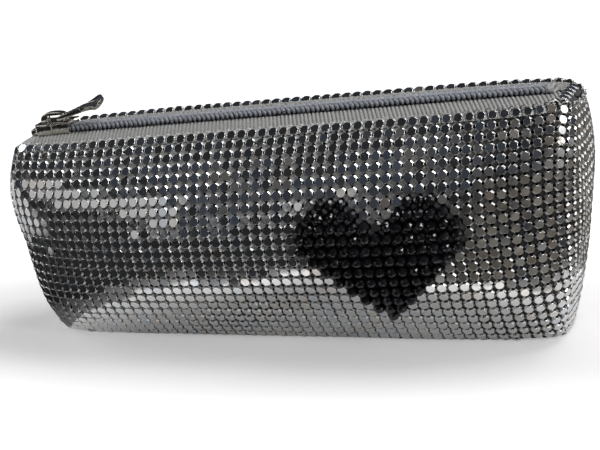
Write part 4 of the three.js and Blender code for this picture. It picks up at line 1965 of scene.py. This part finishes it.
    def build(self, ribbed: Material, thread: Material) -> list[Piece]:
        """Builds both tapes with their stitches.

        Args:
            ribbed: Finish of the tapes.
            thread: Finish of the stitches.

        Returns:
            The pieces.
        """
        pieces = []
        for side in Side:
            for half in Half:
                cloth = self.cloth(side, half, ribbed)
                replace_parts(cloth, f"{side.word}_zip_tape")
                self.width
                self.mouth.bend(cloth, side, half)
                row = self.stitches(side, half, thread)
                self.mouth.bend(row, side, half)
                pieces += [cloth, row]
        return pieces


@dataclass
class Slider:
    """Slider, pull and the stops at both ends of the chain."""

    chain: Chain
    mouth: Mouth
    round_off: float = 0.3 * MM
    pull_pivot: Size = (-72.771 * MM, 0, 65.857 * MM)
    pull_roll: float = math.radians(22)
    pull_roll_span: Span = (5 * MM, 13 * MM)
    bar_place: float = 79.45 * MM
    bar_half_width: float = 3 * MM
    bar_half_height: float = 0.9 * MM
    bar_drop: float = 0.2 * MM
    bar_turns: int = 7
    bar_turn_points: int = 14
    bar_pitch: float = 0.28 * MM
    bar_thread: float = 0.2 * MM
    loose_ends: tuple[Size, ...] = (
        (1.6 * MM, -2.6 * MM, 2.4 * MM),
        (2.8 * MM, -1.4 * MM, 3.4 * MM),
        (2.2 * MM, 0.6 * MM, 2.9 * MM),
        (3.2 * MM, 2.2 * MM, 2.2 * MM),
    )
    loose_root_share: float = 0.5
    loose_root_up: float = 0.4 * MM
    loose_points: int = 9
    loose_thread: float = 0.09 * MM
    curl: Size = (0, 0.5 * MM, 0.6 * MM)
    curl_turn: float = 1.5 * math.pi

    def loose_end(self, index: int, tip: Size, thread: Material) -> Piece:
        """Models one loose end of the bar's thread.

        Args:
            index: Number of the end.
            tip: How far it reaches along, across and above the line of the zipper.
            thread: Finish of the thread.

        Returns:
            The end as a strand.
        """
        share = np.linspace(0, 1, self.loose_points)[:, None]
        root = np.array([self.bar_place, tip[1] * self.loose_root_share, self.loose_root_up])
        curl = np.array(self.curl) * np.sin(self.curl_turn * share)
        fibre = self.chain.placed(root + np.array(tip) * share + curl)
        return tube(f"loose_end_{index}", fibre, np.full(len(share), self.loose_thread), thread)

    def sew_bar(self, thread: Material) -> Piece:
        """Winds the bar of thread that joins the coils' ends, with a few loose ends.

        Args:
            thread: Finish of the thread.

        Returns:
            The bar as one piece.
        """
        turns = np.linspace(0, self.bar_turns, self.bar_turns * self.bar_turn_points)
        angle = 2 * math.pi * turns
        line = np.column_stack([
            self.bar_place + (turns - self.bar_turns / 2) * self.bar_pitch,
            self.bar_half_width * np.cos(angle),
            self.bar_half_height * np.sin(angle) - self.bar_drop,
        ])
        bar = tube("bottom_bar_tack", self.chain.placed(line), np.full(len(line), self.bar_thread), thread)
        ends = [self.loose_end(index, tip, thread) for index, tip in enumerate(self.loose_ends)]
        select(bar, *ends)
        bpy.ops.object.join()
        return bar

    def roll_blade(self, pull: Piece) -> None:
        """Rolls the pull's blade a little towards the front, as a loose pull hangs.

        Args:
            pull: The dressed pull, at rest.
        """
        local = read_points(pull) - self.pull_pivot
        tip = local[np.argmax(local[:, 0])] * (1, 0, 1)
        axis = tip / np.linalg.norm(tip)
        along = local @ axis
        low, high = self.pull_roll_span
        angle = self.pull_roll * ease((along - low) / (high - low))[:, None]
        turned = local * np.cos(angle) + np.cross(axis, local) * np.sin(angle)
        turned += axis * along[:, None] * (1 - np.cos(angle))
        write_points(pull, turned + self.pull_pivot)

    def build(self, nickel: Material, thread: Material) -> list[Piece]:
        """Dresses the metal of the zipper and sews its end.

        Args:
            nickel: Finish of the metal.
            thread: Finish of the sewn bar.

        Returns:
            The pieces.
        """
        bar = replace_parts(self.sew_bar(thread), "bottom_stop")
        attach(bar, "root")
        pieces = [bar]
        riders = {"slider_body": "slider", "pull_tab": "pull"}
        for node, body in riders.items():
            part = dressed_copy(node, f"{node}_metal", self.round_off, nickel)
            if node == "pull_tab":
                self.roll_blade(part)
            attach(part, body)
            pieces.append(part)
        for side in Side:
            clip = dressed_copy(f"{side.word}_top_stop", f"{side.word}_clip", self.round_off, nickel)
            self.mouth.bend(clip, side, Half.LEFT)
            pieces.append(clip)
        return pieces


def heading(azimuth: float, elevation: float) -> Vector:
    """Direction from the bag, in degrees from the front towards +X and above the floor."""
    turn, rise = math.radians(azimuth), math.radians(elevation)
    return Vector((math.sin(turn) * math.cos(rise), -math.cos(turn) * math.cos(rise), math.sin(rise)))


@dataclass(frozen=True)
class Softbox:
    """A flat lamp that faces the bag; its angles are in degrees, and a glow of 1 is a white face."""

    name: str
    azimuth: float
    elevation: float
    distance: float
    size: Span
    glow: float

    def hang(self) -> None:
        """Adds the lamp to the scene."""
        back = heading(self.azimuth, self.elevation)
        deselect()
        bpy.ops.object.light_add(type="AREA", location=back * self.distance)
        lamp = bpy.context.object
        lamp.name = self.name
        lamp.rotation_euler = back.to_track_quat("Z", "Y").to_euler()
        lamp.data.shape = "RECTANGLE"
        lamp.data.size, lamp.data.size_y = self.size
        lamp.data.energy = self.glow * math.pi * self.size[0] * self.size[1]


@dataclass
class Studio:
    """Floor, lamps, a dark card and the camera, which is set by angles in degrees."""

    azimuth: float = 22.186
    elevation: float = 16.888
    roll: float = -6.958
    distance: float = 530.2 * MM
    target: Size = (0.698 * MM, 0, 31.03 * MM)
    focal_pixels: float = 1795.7
    frame_pixels: float = 600
    floor_size: float = 8
    card_outer: Span = (2.2, 2.0)
    card_up: float = 0.5 * MM
    card_corners: int = 128
    softboxes: tuple[Softbox, ...] = (
        Softbox("right_softbox", 85, 38, 1.0, (0.35, 0.5), 1.6),
        Softbox("left_softbox", -100, 30, 1.0, (0.45, 0.5), 3.2),
        Softbox("top_softbox", 125, 68, 1.1, (0.5, 0.5), 6.5),
        Softbox("right_glints", 60, 28, 1.0, (0.12, 0.5), 10),
        Softbox("front_window", -46, 12, 1.5, (0.95, 0.62), 0.45),
    )

    def set_camera(self) -> None:
        """Sets the camera at the photograph's angle."""
        deselect()
        bpy.ops.object.camera_add()
        camera = bpy.context.object
        back = heading(self.azimuth, self.elevation)
        turn = back.to_track_quat("Z", "Y").to_matrix() @ Matrix.Rotation(math.radians(self.roll), 3, "Z")
        camera.matrix_world = Matrix.Translation(Vector(self.target) + back * self.distance) @ turn.to_4x4()
        camera.data.lens = camera.data.sensor_width * self.focal_pixels / self.frame_pixels
        bpy.context.scene.camera = camera

    def lay_floor(self) -> None:
        """Lays the pale floor."""
        deselect()
        bpy.ops.mesh.primitive_plane_add(size=self.floor_size)
        floor = bpy.context.object
        floor.name = "floor"
        floor.data.materials.append(FloorFinish().make())
        floor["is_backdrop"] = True

    def lay_card(self) -> None:
        """Lays a dark card round the bag, for its metal only."""
        reflection_flag = CardFinish()
        deselect()
        bpy.ops.mesh.primitive_circle_add(vertices=self.card_corners, radius=1)
        card = bpy.context.object
        card.name = "dark_card"
        bpy.ops.object.mode_set(mode="EDIT")
        bpy.ops.mesh.select_all(action="SELECT")
        bpy.ops.transform.resize(value=(*reflection_flag.inner, 1))
        bpy.ops.mesh.extrude_region_move()
        grow = [outer / inner for outer, inner in zip(self.card_outer, reflection_flag.inner)]
        bpy.ops.transform.resize(value=(*grow, 1))
        bpy.ops.mesh.select_all(action="SELECT")
        bpy.ops.transform.translate(value=(*reflection_flag.middle, self.card_up))
        bpy.ops.object.mode_set(mode="OBJECT")
        card.data.materials.append(reflection_flag.make())
        # Seen only in glossy rays: a dark sheet whose colours paint the reflections in metal and glass.
        card.visible_camera = card.visible_diffuse = card.visible_shadow = False
        card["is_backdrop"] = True

    def build(self) -> None:
        """Builds the whole stage."""
        scene = bpy.context.scene
        scene.view_settings.view_transform = "Standard"
        scene.world = RoomFinish().make()
        self.lay_floor()
        self.lay_card()
        for softbox in self.softboxes:
            softbox.hang()
        self.set_camera()


def main() -> None:
    """Builds the stage and every sub-assembly of the bag, and reports each piece."""
    logging.basicConfig(level=logging.INFO, format="%(name)s %(message)s")
    Studio().build()
    form, mouth = BagForm(), Mouth()
    chain = Chain(form)
    shell = MeshShell(form, mouth, chain, Heart())
    pieces = shell.build(PlateFinish().make(), LinkFinish().make(), CrystalFinish().make())
    satin = ClothFinish("black_satin", (0.006, 0.006, 0.007, 1), (0.02, 0.02, 0.023, 1)).make()
    pieces += Lining(form, mouth).build(satin)
    thread = ClothFinish("pale_thread", (0.45, 0.45, 0.44, 1), (0.72, 0.72, 0.70, 1), roughness=0.5).make()
    pieces += Tape(chain, mouth).build(TapeFinish().make(), thread)
    pieces += Coil(chain, mouth).build(CoilFinish().make(), thread)
    pieces += Slider(chain, mouth).build(NickelFinish().make(), thread)
    for piece in pieces:
        LOG.info("%s: %d faces", piece.name, len(piece.data.polygons))
    boxes = {"cad": CAD_BOX, "visual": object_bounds()}
    {key: [list(corner) for corner in box] for key, box in boxes.items()}


if __name__ == "__main__":
    main()
